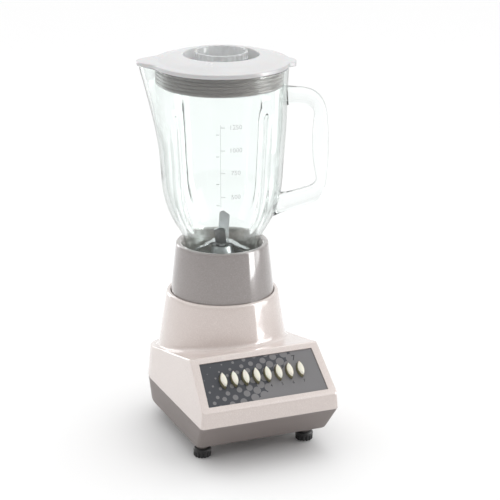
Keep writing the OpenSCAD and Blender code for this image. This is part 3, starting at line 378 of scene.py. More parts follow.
class Finish:
    """One material: its Principled shader and short ways to place effects in it."""

    def __init__(self, name, colour, roughness, **plain):
        self.material = bpy.data.materials.new(name)
        self.material.use_nodes = True
        self.tree = self.material.node_tree
        self.shader = self.tree.nodes["Principled BSDF"]
        self.colour = (*colour, 1.0)
        self.shader.inputs["Base Color"].default_value = self.colour
        self.shader.inputs["Roughness"].default_value = roughness
        for label, value in plain.items():
            self.shader.inputs[label.replace("_", " ")].default_value = value
        self.material.diffuse_color = self.colour

    def effect(self, name, **values):
        node = self.tree.nodes.new("ShaderNodeGroup")
        node.node_tree = EFFECTS[name]
        for label, value in values.items():
            socket = node.inputs[label.replace("_", " ")]
            if isinstance(value, bpy.types.NodeSocket):
                self.tree.links.new(value, socket)
            else:
                socket.default_value = value
        return node

    def link(self, a, label):
        self.tree.links.new(a, self.shader.inputs[label])

    def node(self, kind, **settings):
        made = self.tree.nodes.new(kind)
        for key, value in settings.items():
            setattr(made, key, value)
        return made

    def mix(self, factor, a, b):
        made = self.node("ShaderNodeMix", data_type="RGBA")
        for label, value in (("Factor", factor), ("A", a), ("B", b)):
            if isinstance(value, bpy.types.NodeSocket):
                self.tree.links.new(value, made.inputs[label])
            else:
                made.inputs[label].default_value = value
        return made.outputs["Result"]

    def bump(self, height, distance, strength=1.0):
        made = self.node("ShaderNodeBump")
        made.inputs["Strength"].default_value = strength
        made.inputs["Distance"].default_value = distance
        self.tree.links.new(height, made.inputs["Height"])
        self.link(made.outputs["Normal"], "Normal")

    def marks(self, roughness, spread=0.05, scale=30.0):
        node = self.effect("marks", Roughness=roughness, Spread=spread, Scale=scale)
        self.link(node.outputs["Roughness"], "Roughness")
        return node

    def moulded(self, roughness, tone=0.03, peel=0.3, peel_scale=260.0, depth=0.00002, spread=0.05):
        """Moulded plastic or rubber: drifting tone, a slight skin and handling marks."""
        skin = self.effect("skin", Color=self.colour, Tone=tone, Peel_Scale=peel_scale, Peel=peel)
        self.link(skin.outputs["Color"], "Base Color")
        self.bump(skin.outputs["Height"], depth)
        self.marks(roughness, spread)
        return skin


def pearl_ivory():
    f = Finish("pearl_ivory", (0.665, 0.58, 0.545), 0.22, Coat_Weight=0.9, Coat_Roughness=0.07, Coat_IOR=1.65)
    skin = f.effect("skin", Color=f.colour, Tone=0.02, Peel_Scale=180.0, Peel=0.25)
    flake = f.effect("flake", Color=skin.outputs["Color"], Flake_Color=(1.0, 0.93, 0.88, 1), Amount=0.35)
    f.link(flake.outputs["Color"], "Base Color")
    f.bump(skin.outputs["Height"], 0.00001)
    f.marks(0.24, 0.05)
    return f.material


def warm_grey_gloss():
    f = Finish("warm_grey_gloss", (0.27, 0.24, 0.23), 0.14, Coat_Weight=0.8, Coat_Roughness=0.04, Coat_IOR=1.6)
    skin = f.moulded(0.16, tone=0.03, peel=0.2, peel_scale=150.0, depth=0.00001, spread=0.04)
    flake = f.effect("flake", Color=skin.outputs["Color"], Flake_Color=(0.6, 0.58, 0.57, 1), Amount=0.25)
    f.link(flake.outputs["Color"], "Base Color")
    return f.material


def warm_grey_satin():
    f = Finish("warm_grey_satin", (0.207, 0.176, 0.166), 0.42)
    skin = f.moulded(0.44, tone=0.04, peel=0.6, peel_scale=900.0, depth=0.00003, spread=0.06)
    rub = f.effect("rub", Start=0.54, Amount=0.35)
    f.link(f.mix(rub.outputs["Mask"], skin.outputs["Color"], (0.42, 0.40, 0.39, 1)), "Base Color")
    return f.material


def milky_lid():
    f = Finish("milky_lid", (0.57, 0.57, 0.575), 0.24, Subsurface_Weight=0.15, Subsurface_Scale=0.004,
               Coat_Weight=0.3, Coat_Roughness=0.1)
    f.moulded(0.26, tone=0.03, peel=0.3, peel_scale=120.0, depth=0.00001, spread=0.06)
    return f.material


def clear_cap():
    f = Finish("clear_cap", (0.94, 0.95, 0.95), 0.05, Transmission_Weight=0.7, IOR=1.45)
    skin = f.effect("skin", Color=f.colour, Tone=0.02, Peel_Scale=200.0, Peel=0.3)
    f.link(skin.outputs["Color"], "Base Color")
    f.bump(skin.outputs["Height"], 0.00002)
    f.marks(0.08, 0.05)
    return f.material


def seal_silicone():
    f = Finish("seal_silicone", (0.17, 0.145, 0.135), 0.34, Sheen_Weight=0.15, Coat_Weight=0.7, Coat_Roughness=0.12)
    f.moulded(0.36, tone=0.06, peel=0.5, peel_scale=500.0, depth=0.00003, spread=0.1)
    return f.material


def pressed_glass():
    """Thick clear glass, tinted green and darkened by painted shade where it is seen edge on. Lamps shine through it,
    to light what stands inside.
    """
    # The second colour is what the glass turns to where it is seen edge on: a slight green tint of thick glass,
    # deepened into painted dark shade along the edges.
    clear, edge_shade_tint = (0.955, 0.985, 0.975), (0.14, 0.18, 0.16)
    f = Finish("pressed_glass", clear, 0.0, Transmission_Weight=1.0, IOR=1.5)
    slant = f.node("ShaderNodeLayerWeight")
    slant.inputs["Blend"].default_value = 0.5
    rise = f.node("ShaderNodeMapRange", interpolation_type="SMOOTHSTEP")
    rise.inputs["From Min"].default_value = 0.42
    f.tree.links.new(slant.outputs["Facing"], rise.inputs["Value"])
    f.link(f.mix(rise.outputs["Result"], (*clear, 1), (*edge_shade_tint, 1)), "Base Color")
    place = f.node("ShaderNodeTexCoord")
    waves = f.node("ShaderNodeTexNoise")
    waves.inputs["Scale"].default_value = 38.0
    waves.inputs["Detail"].default_value = 1.5
    f.tree.links.new(place.outputs["Object"], waves.inputs["Vector"])
    f.bump(waves.outputs["Fac"], 0.00035, 0.6)
    f.marks(0.012, 0.012, 60.0)
    through = f.node("ShaderNodeBsdfTransparent")
    through.inputs["Color"].default_value = (0.93, 0.96, 0.95, 1)
    ray = f.node("ShaderNodeLightPath")
    either = f.node("ShaderNodeMixShader")
    out = f.tree.nodes["Material Output"]
    f.tree.links.new(ray.outputs["Is Shadow Ray"], either.inputs[0])
    f.tree.links.new(f.shader.outputs[0], either.inputs[1])
    f.tree.links.new(through.outputs[0], either.inputs[2])
    f.tree.links.new(either.outputs[0], out.inputs["Surface"])
    return f.material


def frosted_mark():
    f = Finish("frosted_mark", (0.74, 0.76, 0.76), 0.5)
    f.moulded(0.5, tone=0.08, peel=0.6, peel_scale=1500.0, depth=0.00003)
    return f.material


def foot_rubber():
    f = Finish("foot_rubber", (0.018, 0.018, 0.018), 0.45, Sheen_Weight=0.2)
    skin = f.moulded(0.5, tone=0.15, peel=1.0, peel_scale=1400.0, depth=0.00005, spread=0.12)
    rub = f.effect("rub", Start=0.55, Amount=0.4)
    f.link(f.mix(rub.outputs["Mask"], skin.outputs["Color"], (0.09, 0.09, 0.085, 1)), "Base Color")
    return f.material


def black_moulding():
    f = Finish("black_moulding", (0.03, 0.03, 0.032), 0.4)
    skin = f.moulded(0.42, tone=0.1, peel=0.8, peel_scale=1000.0, depth=0.00003, spread=0.08)
    rub = f.effect("rub", Start=0.54, Amount=0.3)
    f.link(f.mix(rub.outputs["Mask"], skin.outputs["Color"], (0.13, 0.13, 0.13, 1)), "Base Color")
    return f.material


def cream_button():
    f = Finish("cream_button", (0.86, 0.83, 0.72), 0.18, Coat_Weight=0.6, Coat_Roughness=0.05,
               Subsurface_Weight=0.1, Subsurface_Scale=0.002)
    f.moulded(0.2, tone=0.03, peel=0.3, peel_scale=300.0, depth=0.00001)
    return f.material


def button_flank():
    """The drafted side of a button, a duller and darker champagne than its top: painted shade on the sides that face
    away from the light.
    """
    f = Finish("button_flank", (0.30, 0.275, 0.165), 0.3, Metallic=0.35)
    f.moulded(0.32, tone=0.08, peel=0.5, peel_scale=700.0, depth=0.00002)
    return f.material


def metal(name, colour, roughness, stretch, strength=0.6, depth=0.00002, spread=0.08, rub=0.25):
    """Metal with drawn or turned lines, drifting roughness and brighter rubbed edges."""
    f = Finish(name, colour, roughness, Metallic=1.0)
    lines = f.effect("brushed", Stretch=stretch, Strength=strength)
    marks = f.marks(roughness, spread)
    dull = tuple(c * 0.72 for c in colour) + (1.0,)
    toned = f.mix(marks.outputs["Mask"], dull, f.colour)
    edge = f.effect("rub", Start=0.54, Amount=rub)
    bright = tuple(min(1.0, c * 1.2) for c in colour) + (1.0,)
    f.link(f.mix(edge.outputs["Mask"], toned, bright), "Base Color")
    f.bump(lines.outputs["Height"], depth)
    return f.material


def pressed_carbon():
    f = Finish("pressed_carbon", (0.025, 0.025, 0.027), 0.55, Specular_IOR_Level=0.3)
    f.moulded(0.58, tone=0.25, peel=1.0, peel_scale=2400.0, depth=0.00004, spread=0.1)
    return f.material


def block_nylon():
    f = Finish("block_nylon", (0.72, 0.70, 0.64), 0.4, Subsurface_Weight=0.1, Subsurface_Scale=0.002)
    f.moulded(0.42, tone=0.04, peel=0.6, peel_scale=800.0, depth=0.00003)
    return f.material


def print_ink(name, colour):
    f = Finish(name, colour, 0.45)
    f.moulded(0.45, tone=0.1, peel=0.5, peel_scale=2000.0, depth=0.00001)
    return f.material


def panel_print():
    """Two-tone print: slate with dots that grow until they merge into plain grey, on a satin sheet."""
    f = Finish("panel_print", (0.2, 0.2, 0.21), 0.38, Specular_IOR_Level=0.35)
    place = f.node("ShaderNodeTexCoord").outputs["Object"]
    cell = 0.0084
    turn = f.node("ShaderNodeMapping")
    turn.inputs["Rotation"].default_value = (0, 0, math.radians(38))
    turn.inputs["Scale"].default_value = (1 / cell, 1 / cell, 0)
    f.tree.links.new(place, turn.inputs["Vector"])
    cells = f.node("ShaderNodeTexVoronoi", voronoi_dimensions="2D")
    cells.inputs["Scale"].default_value = 1.0
    cells.inputs["Randomness"].default_value = 0.22
    f.tree.links.new(turn.outputs["Vector"], cells.inputs["Vector"])
    xyz = f.node("ShaderNodeSeparateXYZ")
    f.tree.links.new(place, xyz.inputs["Vector"])

    def sum_of(a, b, operation="ADD"):
        made = f.node("ShaderNodeMath", operation=operation)
        for socket, value in zip(made.inputs, (a, b)):
            if isinstance(value, (int, float)):
                socket.default_value = value
            else:
                f.tree.links.new(value, socket)
        return made.outputs[0]

    # How far right of the slanting border a point is, in cells
    lean = sum_of(xyz.outputs["Y"], 1.0, "MULTIPLY")
    right = sum_of(sum_of(sum_of(xyz.outputs["X"], lean, "SUBTRACT"), -0.008), cell, "DIVIDE")
    reach = f.node("ShaderNodeMapRange")
    for label, value in (("From Min", -8.5), ("From Max", 1.0), ("To Min", 0.06), ("To Max", 0.54)):
        reach.inputs[label].default_value = value
    f.tree.links.new(right, reach.inputs["Value"])
    merged = sum_of(sum_of(right, 1.1, "GREATER_THAN"), 1.0, "MULTIPLY")
    radius = sum_of(reach.outputs["Result"], merged)
    dot = sum_of(cells.outputs["Distance"], radius, "LESS_THAN")
    slate, light = (0.052, 0.055, 0.064, 1), (0.187, 0.182, 0.187, 1)
    inked = f.mix(dot, slate, light)
    skin = f.effect("skin", Tone=0.04, Peel_Scale=1200.0, Peel=0.5)
    f.tree.links.new(inked, skin.inputs["Color"])
    f.link(skin.outputs["Color"], "Base Color")
    f.bump(skin.outputs["Height"], 0.00001)
    f.marks(0.36, 0.08)
    return f.material


FINISHES = {}


def make_finishes():
    FINISHES.update({
        "ivory_gloss": pearl_ivory(),
        "grey_gloss": warm_grey_gloss(),
        "grey_satin": warm_grey_satin(),
        "lid_clear": milky_lid(),
        "cap_clear": clear_cap(),
        "seal_grey": seal_silicone(),
        "jar_glass": pressed_glass(),
        "black_rubber": foot_rubber(),
        "black_plastic": black_moulding(),
        "panel_print": panel_print(),
        "button_cream": cream_button(),
        "blade_steel": metal("blade_steel", (0.62, 0.63, 0.64), 0.24, (900, 900, 60)),
        "zinc_steel": metal("zinc_steel", (0.52, 0.53, 0.54), 0.32, (500, 500, 500)),
        "lamination_steel": metal("lamination_steel", (0.16, 0.16, 0.175), 0.45, (30, 30, 2000), 1.0, 0.0001),
        "bronze": metal("bronze", (0.48, 0.31, 0.13), 0.38, (700, 700, 700)),
        "brass_contact": metal("brass_contact", (0.62, 0.45, 0.16), 0.28, (900, 200, 200)),
        "copper_wire": metal("copper_wire", (0.50, 0.20, 0.08), 0.3, (60, 60, 2400), 1.0, 0.0002),
        "carbon": pressed_carbon(),
        "cast_aluminium": metal("cast_aluminium", (0.55, 0.56, 0.57), 0.42, (300, 300, 300), 1.0, 0.00004),
        "block_white": block_nylon(),
        "frosted_mark": frosted_mark(),
        "button_flank": button_flank(),
        "print_black": print_ink("print_black", (0.02, 0.02, 0.022)),
    })


# ------------------------------------------------------------------ mesh helpers


def smooth_line(points, per_span=4):
    """Points of a smooth curve through the given ones (Catmull-Rom)."""
    p = np.array(points, float)
    p = np.vstack([2 * p[0] - p[1], p, 2 * p[-1] - p[-2]])
    out = []
    for a, b, c, d in zip(p[:-3], p[1:-2], p[2:-1], p[3:]):
        for t in np.linspace(0, 1, per_span, endpoint=False):
            out.append(0.5 * (2 * b + (c - a) * t + (2 * a - 5 * b + 4 * c - d) * t * t
                              + (3 * b - a - 3 * c + d) * t ** 3))
    out.append(p[-2])
    return np.array(out)


def eased(points, closed=False, steps=4):
    """A polyline whose corners are rounded: each point is (x, y) or (x, y, radius)."""
    n = len(points)
    xy = np.array([p[:2] for p in points], float)
    out = []
    for i, p in enumerate(points):
        r = p[2] if len(p) > 2 else 0
        if r == 0 or (not closed and i in (0, n - 1)):
            out.append(xy[i])
            continue
        a, b = xy[i - 1] - xy[i], xy[(i + 1) % n] - xy[i]
        la, lb = np.linalg.norm(a), np.linalg.norm(b)
        start, end = xy[i] + a / la * min(r, la * 0.49), xy[i] + b / lb * min(r, lb * 0.49)
        for t in np.linspace(0, 1, steps + 1):
            out.append((1 - t) ** 2 * start + 2 * t * (1 - t) * xy[i] + t * t * end)
    return np.array(out)


def piece(name, node, finish, verts, faces, turn=0.0, sharp=38.0, centre=True):
    """Makes an object from millimetres about the motor axis."""
    verts = np.array(verts, float)
    if turn:
        c, s = math.cos(turn), math.sin(turn)
        verts = np.column_stack([verts[:, 0] * c - verts[:, 1] * s, verts[:, 0] * s + verts[:, 1] * c, verts[:, 2]])
    if centre:
        verts = verts + np.array([AXIS[0], AXIS[1], 0])
    mesh = bpy.data.meshes.new(name)
    mesh.from_pydata((verts * MM).tolist(), [], [list(map(int, f)) for f in faces])
    mesh.validate()
    obj = bpy.data.objects.new(name, mesh)
    bpy.context.scene.collection.objects.link(obj)
    mesh.materials.append(FINISHES[finish])
    tidy_mesh(obj, sharp)
    return obj


def tidy_mesh(obj, sharp=38.0):
    """Faces outwards, smooth, with sharp edges above an angle."""
    bm = bmesh.new()
    bm.from_mesh(obj.data)
    bmesh.ops.remove_doubles(bm, verts=bm.verts, dist=0.000002)
    bmesh.ops.recalc_face_normals(bm, faces=bm.faces)
    bm.to_mesh(obj.data)
    bm.free()
    obj.data.shade_smooth()
    obj.data.set_sharp_from_angle(angle=math.radians(sharp))


REBUILT = set()


def stands_for(obj, body, *nodes):
    """obj replaces CAD nodes and rides on their body."""
    REBUILT.update(nodes)
    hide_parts(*nodes)
    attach(obj, body)


def grid(rows, wrap_rows=False, cap_first=False, cap_last=False):
    """Vertices and faces of a net of points [row][column][xyz] whose columns go all the way round."""
    rows = np.array(rows, float)
    n, m = rows.shape[:2]
    verts = rows.reshape(-1, 3)
    faces = []
    for i in range(n if wrap_rows else n - 1):
        j = (i + 1) % n
        for k in range(m):
            q = (k + 1) % m
            faces.append((i * m + k, i * m + q, j * m + q, j * m + k))
    if cap_first:
        faces.append(tuple(range(m - 1, -1, -1)))
    if cap_last:
        faces.append(tuple((n - 1) * m + k for k in range(m)))
    return verts, faces


def lathe(profile, columns=128, wave=None):
    """Net of a profile of (radius, height) turned about Z. wave(angle, radius, height) may change the radius."""
    angles = np.linspace(0, 2 * math.pi, columns, endpoint=False)
    rows = []
    for r, z in profile:
        radii = np.full(columns, r) if wave is None else np.array([wave(a, r, z) for a in angles])
        rows.append(np.column_stack([radii * np.cos(angles), radii * np.sin(angles), np.full(columns, z)]))
    return rows


def combine(obj, other, operation):
    """Boolean of two closed meshes, applied. The other object is removed."""
    mod = obj.modifiers.new("combine", "BOOLEAN")
    mod.operation = operation
    mod.solver = "MANIFOLD"
    mod.object = other
    bpy.context.view_layer.update()
    made = bpy.data.meshes.new_from_object(obj.evaluated_get(bpy.context.evaluated_depsgraph_get()))
    obj.modifiers.clear()
    old = obj.data
    obj.data = made
    made.name = old.name
    bpy.data.meshes.remove(old)
    bpy.data.objects.remove(other)
    return obj


def prism(outline_points, z0, z1, bevel=0.0):
    """Vertices and faces of an outline between two heights, with its ends drawn in by a bevel."""
    p = np.array(outline_points, float)
    mid = p.mean(0)
    rows = []
    for z, inset in ((z0, bevel), (z0 + bevel, 0), (z1 - bevel, 0), (z1, bevel)):
        d = p - mid
        length = np.linalg.norm(d, axis=1)[:, None]
        q = mid + d * (1 - inset / np.maximum(length, 1e-6))
        rows.append(np.column_stack([q, np.full(len(q), z)]))
    if bevel == 0:
        rows = [rows[0], rows[-1]]
    return grid(rows, cap_first=True, cap_last=True)


# Slope frame: X across, Y up the slope from its lower edge, Z out of it
SLOPE_TO_AXIS = np.array(Matrix.Translation((0, -FRONT, BAND_TOP)) @ Matrix.Rotation(SLOPE, 4, "X"))


def on_slope(verts):
    """Points given in the slope's frame, in millimetres about the motor axis."""
    v = np.array(verts, float)
    return v @ SLOPE_TO_AXIS[:3, :3].T + SLOPE_TO_AXIS[:3, 3]


def oval(grow=0.0, steps=14):
    """Pointed oval of a button: two arcs, upright along Y."""
    lens_r = (BUTTON_L ** 2 / 4 + BUTTON_W ** 2 / 4) / BUTTON_W
    r, offset = lens_r + grow, lens_r - BUTTON_W / 2
    half = math.acos(offset / r)
    right = [(r * math.cos(a) - offset, r * math.sin(a)) for a in np.linspace(-half, half, steps)]
    left = [(-x, y) for x, y in reversed(right[1:-1])]
    return np.array(right + left)


def button_x(i):
    return (i - (BUTTONS + 1) / 2) * BUTTON_PITCH


# ------------------------------------------------------------------ motor base


def outline(half_w, front, back, rf, rb):
    """Points round a base outline at one height, anticlockwise from the middle of the front."""
    right = [(x, -front) for x in np.linspace(0, half_w - rf, 20, endpoint=False)]
    right += [(half_w - rf + rf * math.cos(a), rf - front + rf * math.sin(a))
              for a in np.linspace(-math.pi / 2, 0, 8, endpoint=False)]
    right += [(half_w, y) for y in np.linspace(rf - front, back - rb, 46, endpoint=False)]
    right += [(half_w - rb + rb * math.cos(a), back - rb + rb * math.sin(a))
              for a in np.linspace(0, math.pi / 2, 34, endpoint=False)]
    right += [(x, back) for x in np.linspace(half_w - rb, 0, 9)]
    left = [(-x, y) for x, y in reversed(right[1:-1])]
    return np.array(right + left)


def base_outline(inset, front_inset=0.0):
    return outline(HALF_W - inset, FRONT - front_inset, BACK - inset,
                   max(CORNER_FRONT - inset, 1.0), CORNER_BACK - inset)


def deck_height(y, sink=0.0):
    """Height of the deck, which falls towards the back from its ridge."""
    return DECK_Z - (y - RIDGE_Y) * DECK_FALL - sink * math.hypot(1, DECK_FALL)


def top_height(y, sink=0.0):
    """Height of the deck and slope at a depth y, rounded along the ridge and sunk along both normals."""
    deck = deck_height(y, sink)
    slope = BAND_TOP + (y + FRONT) * math.tan(SLOPE) - sink / math.cos(SLOPE)
    k = 1.6
    h = np.clip(0.5 + 0.5 * (slope - deck) / k, 0, 1)
    return slope * (1 - h) + deck * h - k * h * (1 - h)


def wall_tops(inset, sink):
    """Foot and top of each column of the housing's wall: it leans in, and ends at the slope or the deck."""
    foot = base_outline(inset, inset)
    deck = outline(HALF_W - inset - DECK_INSET, FRONT - inset, BACK - inset - DECK_INSET, 1.0,
                   CORNER_BACK - inset - DECK_INSET)
    height = DECK_Z - sink - PART_Z
    dy = deck[:, 1] - foot[:, 1]
    under_slope = top_plane(foot[:, 1], BAND_TOP, -FRONT, math.tan(SLOPE), sink) / (height - dy * math.tan(SLOPE))
    under_deck = top_plane(foot[:, 1], DECK_Z, RIDGE_Y, -DECK_FALL, sink) / (height + dy * DECK_FALL)
    share = np.clip(np.minimum(under_slope, under_deck), 0.05, 1.0)
    top = foot + (deck - foot) * share[:, None]
    return (np.column_stack([foot, np.full(len(foot), PART_Z)]),
            np.column_stack([top, PART_Z + height * share]))


def top_plane(y, z0, y0, rise, sink):
    """Height above the parting line of a plane through (y0, z0), at a depth y."""
    return z0 + (y - y0) * rise - sink * math.hypot(1, rise) - PART_Z


def cone_r(z):
    return CONE_FOOT_R + (DECK_Z - z) * (CONE_FOOT_R - CONE_TOP_R) / (CONE_TOP_Z - DECK_Z)


def cone_meets_deck(angle, inset, sink):
    """Radius at which the cone, moved in by an inset, meets the deck."""
    flare = (CONE_FOOT_R - CONE_TOP_R) / (CONE_TOP_Z - DECK_Z)
    lower = sink * math.hypot(1, DECK_FALL)
    return (CONE_FOOT_R - inset + flare * (lower - RIDGE_Y * DECK_FALL)) / (1 - np.sin(angle) * DECK_FALL * flare)


def deck_rows(top, radius, sink, edge):
    """Rows from the wall's rounded top edge over slope and deck to a ring of that radius round the cone."""
    angle = np.arctan2(top[:, 1], top[:, 0])
    ring = np.column_stack([radius * np.cos(angle), radius * np.sin(angle)])
    run = np.linalg.norm(ring - top[:, :2], axis=1)
    t0 = np.minimum(edge, run * 0.42) / np.maximum(run, 1e-6)
    dy = ring[:, 1] - top[:, 1]
    cross = np.where(dy > 1, (RIDGE_Y - top[:, 1]) / np.maximum(dy, 1), 0)
    cross = np.clip(cross, t0 + 0.08, 0.93)
    near = np.minimum(2.6 / np.maximum(np.abs(dy), 1), 0.05)
    shares = [t0 + (cross - near - t0) * f for f in (0, 0.35, 0.7)]
    shares += [cross + near * f for f in (-1, -0.6, -0.3, 0, 0.3, 0.6, 1)]
    shares += [cross + near + (1 - cross - near) * f for f in (0.3, 0.6, 1)]
    rows = []
    for t in shares:
        xy = top[:, :2] + (ring - top[:, :2]) * t[:, None]
        rows.append(np.column_stack([xy, top_height(xy[:, 1], sink)]))
    return rows, np.minimum(edge, run * 0.42)


def curve_rows(start, corner, end, steps):
    """Rows that round a corner from one ring of points to another, without the end itself."""
    return [(1 - t) ** 2 * start + 2 * t * (1 - t) * corner + t * t * end
            for t in np.linspace(0, 1, steps + 1)[:-1]]


def rounded_edge(foot, top, first, reach, steps=5):
    """Rows that round the edge between the wall and the top surface."""
    down = foot - top
    down /= np.linalg.norm(down, axis=1)[:, None]
    return curve_rows(top + down * reach[:, None], top, first, steps)


def ring_rows(profile, angle):
    return [np.column_stack([r * np.cos(angle), r * np.sin(angle), np.full(len(angle), z)]) for r, z in profile]


def make_housing():
    """Pearl housing: drafted walls, rounded deck and slope, cone, seat and well, as one closed shell."""
    foot, top = wall_tops(0.0, 0.0)
    angle = np.arctan2(top[:, 1], top[:, 0])
    foot_r = cone_meets_deck(angle, 0.0, 0.0)
    fillet = np.minimum(4.0, (np.linalg.norm(top[:, :2], axis=1) - foot_r) * 0.5)
    deck, reach = deck_rows(top, foot_r + fillet, 0.0, 1.8)

    def on_cone(z):
        r = cone_r(z)
        return np.column_stack([r * np.cos(angle), r * np.sin(angle), z])

    corner_z = deck_height(foot_r * np.sin(angle))
    lip = base_outline(0.5, 0.5)
    rows = [np.column_stack([lip, np.full(len(lip), PART_Z)])]
    rows += [foot + np.array([0, 0, 0.5])] + [foot + (top - foot) * f for f in (0.3, 0.6)]
    rows += rounded_edge(foot, top, deck[0], reach)
    rows += deck[:-1]
    rows += curve_rows(deck[-1], on_cone(corner_z), on_cone(corner_z + fillet * 1.3), 6)
    rows += [on_cone(corner_z + fillet * 1.3 + (CONE_TOP_Z - 8 - corner_z - fillet * 1.3) * f) for f in (0, 0.5)]
    cone = eased([(cone_r(CONE_TOP_Z - 8), CONE_TOP_Z - 8), (CONE_TOP_R, CONE_TOP_Z, 4.6),
                  (SEAT_R, CONE_TOP_Z, 0.8), (SEAT_R, SEAT_Z, 0.8), (WELL_R, SEAT_Z, 1.0), (WELL_R, WELL_Z, 1.5),
                  (SHAFT_HOLE_R, WELL_Z, 0.4), (SHAFT_HOLE_R, WELL_Z - WALL, 0.4),
                  (WELL_R + WALL, WELL_Z - WALL, 1.0), (WELL_R + WALL, SEAT_Z - WALL, 1.0),
                  (CONE_TOP_R - WALL - 1.4, SEAT_Z - WALL, 1.0),
                  (cone_r(WELL_Z - WALL) - WALL, WELL_Z - WALL)], steps=7)
    rows += ring_rows(cone, angle)
    foot_in, top_in = wall_tops(WALL, WALL)
    deck_in, reach_in = deck_rows(top_in, cone_meets_deck(angle, WALL, WALL), WALL + 0.2, 1.0)
    rows += deck_in[::-1]
    rows += rounded_edge(foot_in, top_in, deck_in[0], reach_in)[::-1]
    rows += [foot_in + (top_in - foot_in) * f for f in (0.5, 0.0)]
    housing = piece("housing_shell", None, "ivory_gloss", *grid(rows, wrap_rows=True))
    backing = prism(panel_outline(2.0), -PANEL_DEPTH - WALL, -0.6, 0.2)
    combine(housing, piece("backing", None, "ivory_gloss", on_slope(backing[0]), backing[1]), "UNION")
    cutters = [prism(panel_outline(0.2), -PANEL_DEPTH, 12)]
    cutters += [prism(oval(BUTTON_GAP) + np.array([button_x(i), BUTTON_ROW]), -14, 2) for i in range(1, BUTTONS + 1)]
    for verts, faces in cutters:
        combine(housing, piece("cutter", None, "ivory_gloss", on_slope(verts), faces), "DIFFERENCE")
    for i in range(4):
        lug = prism([(42.5, 1.6), (46.5, 1.6), (46.5, 12.6), (42.5, 12.6)], SEAT_Z - 1, SEAT_Z + 9, 0.6)
        combine(housing, piece("lug", None, "ivory_gloss", *lug, turn=JAR_TURN + math.radians(45 + 90 * i)), "UNION")
    tidy_mesh(housing, 32)
    stands_for(housing, "base", "upper_housing")


def panel_outline(gap):
    """Corners of the panel plate in the slope's frame, slightly rounded."""
    foot, top = PANEL_HALF + gap, PANEL_TOP_HALF + gap
    y0, y1 = PANEL_FOOT - gap, PANEL_FOOT + PANEL_LEN + gap
    return eased([(-foot, y0, 0.8), (foot, y0, 0.8), (top, y1, 0.8), (-top, y1, 0.8)], closed=True)


def make_panel():
    """Printed sheet in the recess, in its own frame so that the print follows the slope."""
    verts, faces = prism(panel_outline(0.0), 0, PANEL_T, 0.15)
    middle = np.array([0, PANEL_FOOT + PANEL_LEN / 2, 0])
    plate = piece("panel_sheet", None, "panel_print", verts - middle, faces, centre=False)
    for i in range(1, BUTTONS + 1):
        v, f = prism(oval(BUTTON_GAP) + np.array([button_x(i), BUTTON_ROW]), -3, 4)
        combine(plate, piece("cutter", None, "panel_print", v - middle, f, centre=False), "DIFFERENCE")
    tidy_mesh(plate, 30)
    place_on_slope(plate, middle + np.array([0, 0, -PANEL_DEPTH]))
    stands_for(plate, "base", "control_panel")


def place_on_slope(obj, where):
    """Puts an object that was made flat on the slope, with its origin at that point."""
    origin = on_slope([where])[0] + np.array([AXIS[0], AXIS[1], 0])
    obj.matrix_world = Matrix.Translation(Vector(origin * MM)) @ Matrix.Rotation(SLOPE, 4, "X")


def digits(name, text, height, depth, finish):
    """Raised number as a mesh: X right, Y up, centred, in metres."""
    curve = bpy.data.curves.new(name, "FONT")
    curve.body = text
    curve.size = height * MM
    curve.extrude = depth * MM / 2
    curve.offset = height * MM * 0.012
    curve.resolution_u = 3
    curve.align_x, curve.align_y = "CENTER", "CENTER"
    maker = bpy.data.objects.new(name, curve)
    bpy.context.scene.collection.objects.link(maker)
    bpy.context.view_layer.update()
    mesh = bpy.data.meshes.new_from_object(maker.evaluated_get(bpy.context.evaluated_depsgraph_get()))
    bpy.data.objects.remove(maker)
    obj = bpy.data.objects.new(name, mesh)
    mesh.name = name
    mesh.materials.clear()
    mesh.materials.append(FINISHES[finish])
    bpy.context.scene.collection.objects.link(obj)
    return obj


def make_panel_numbers():
    top = -PANEL_DEPTH + PANEL_T + 0.03
    for i in range(5, BUTTONS + 1):
        number = digits(f"speed_mark_{i - 1}", str(i - 1), 4.2, 0.06, "print_black")
        place_on_slope(number, (button_x(i) + 1.0, BUTTON_ROW - 12.0, top))
        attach(number, "base")
    number = digits("speed_count", str(BUTTONS - 1), 8.0, 0.06, "print_black")
    place_on_slope(number, (38.0, BUTTON_ROW + 13.5, top))
    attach(number, "base")


def make_buttons():
    """Eight crowned ovals on drafted skirts, with a stem that reaches into the switch."""
    for i in range(1, BUTTONS + 1):
        node = f"button_{i}"
        stem_foot = -PANEL_DEPTH - WALL - 1.6 - 3.5 - 1 - 6
        centre = np.array([button_x(i), BUTTON_ROW])
        ring = oval(0.0, 16)
        rows = []
        for z, grow in ((BUTTON_FOOT, 0.0), (1.0, 0.0), (BUTTON_TOP - 2.2, -0.25), (BUTTON_TOP - 1.5, -0.5),
                        (BUTTON_TOP - 1.0, -0.95), (BUTTON_TOP - 0.5, -1.6), (BUTTON_TOP - 0.15, -2.3),
                        (BUTTON_TOP, -2.9)):
            scale = 1 + grow / (BUTTON_W / 2)
            rows.append(np.column_stack([ring[:, 0] * scale, ring[:, 1] * (1 + grow / (BUTTON_L / 2)),
                                         np.full(len(ring), z)]))
        verts, faces = grid(rows, cap_first=True, cap_last=True)
        verts = verts + np.array([centre[0], centre[1], 0])
        button = piece(f"button_cap_{i}", node, "button_cream", on_slope(verts), faces, sharp=50)
        stem = prism(np.array([(-1.5, -3), (1.5, -3), (1.5, 3), (-1.5, 3)]) + centre, stem_foot, BUTTON_FOOT + 0.5, 0.2)
        combine(button, piece("stem", node, "button_cream", on_slope(stem[0]), stem[1]), "UNION")
        tidy_mesh(button, 50)
        # The second material is the darker button side, painted shade: faces that turn away from the slope's outward
        # normal take it, the rest keep the cream top.
        button.data.materials.append(FINISHES["button_flank"])
        out = Vector((0, -math.sin(SLOPE), math.cos(SLOPE)))
        for face in button.data.polygons:
            face.material_index = 0 if face.normal.dot(out) > 0.25 else 1
        stands_for(button, f"key_{i}", node)


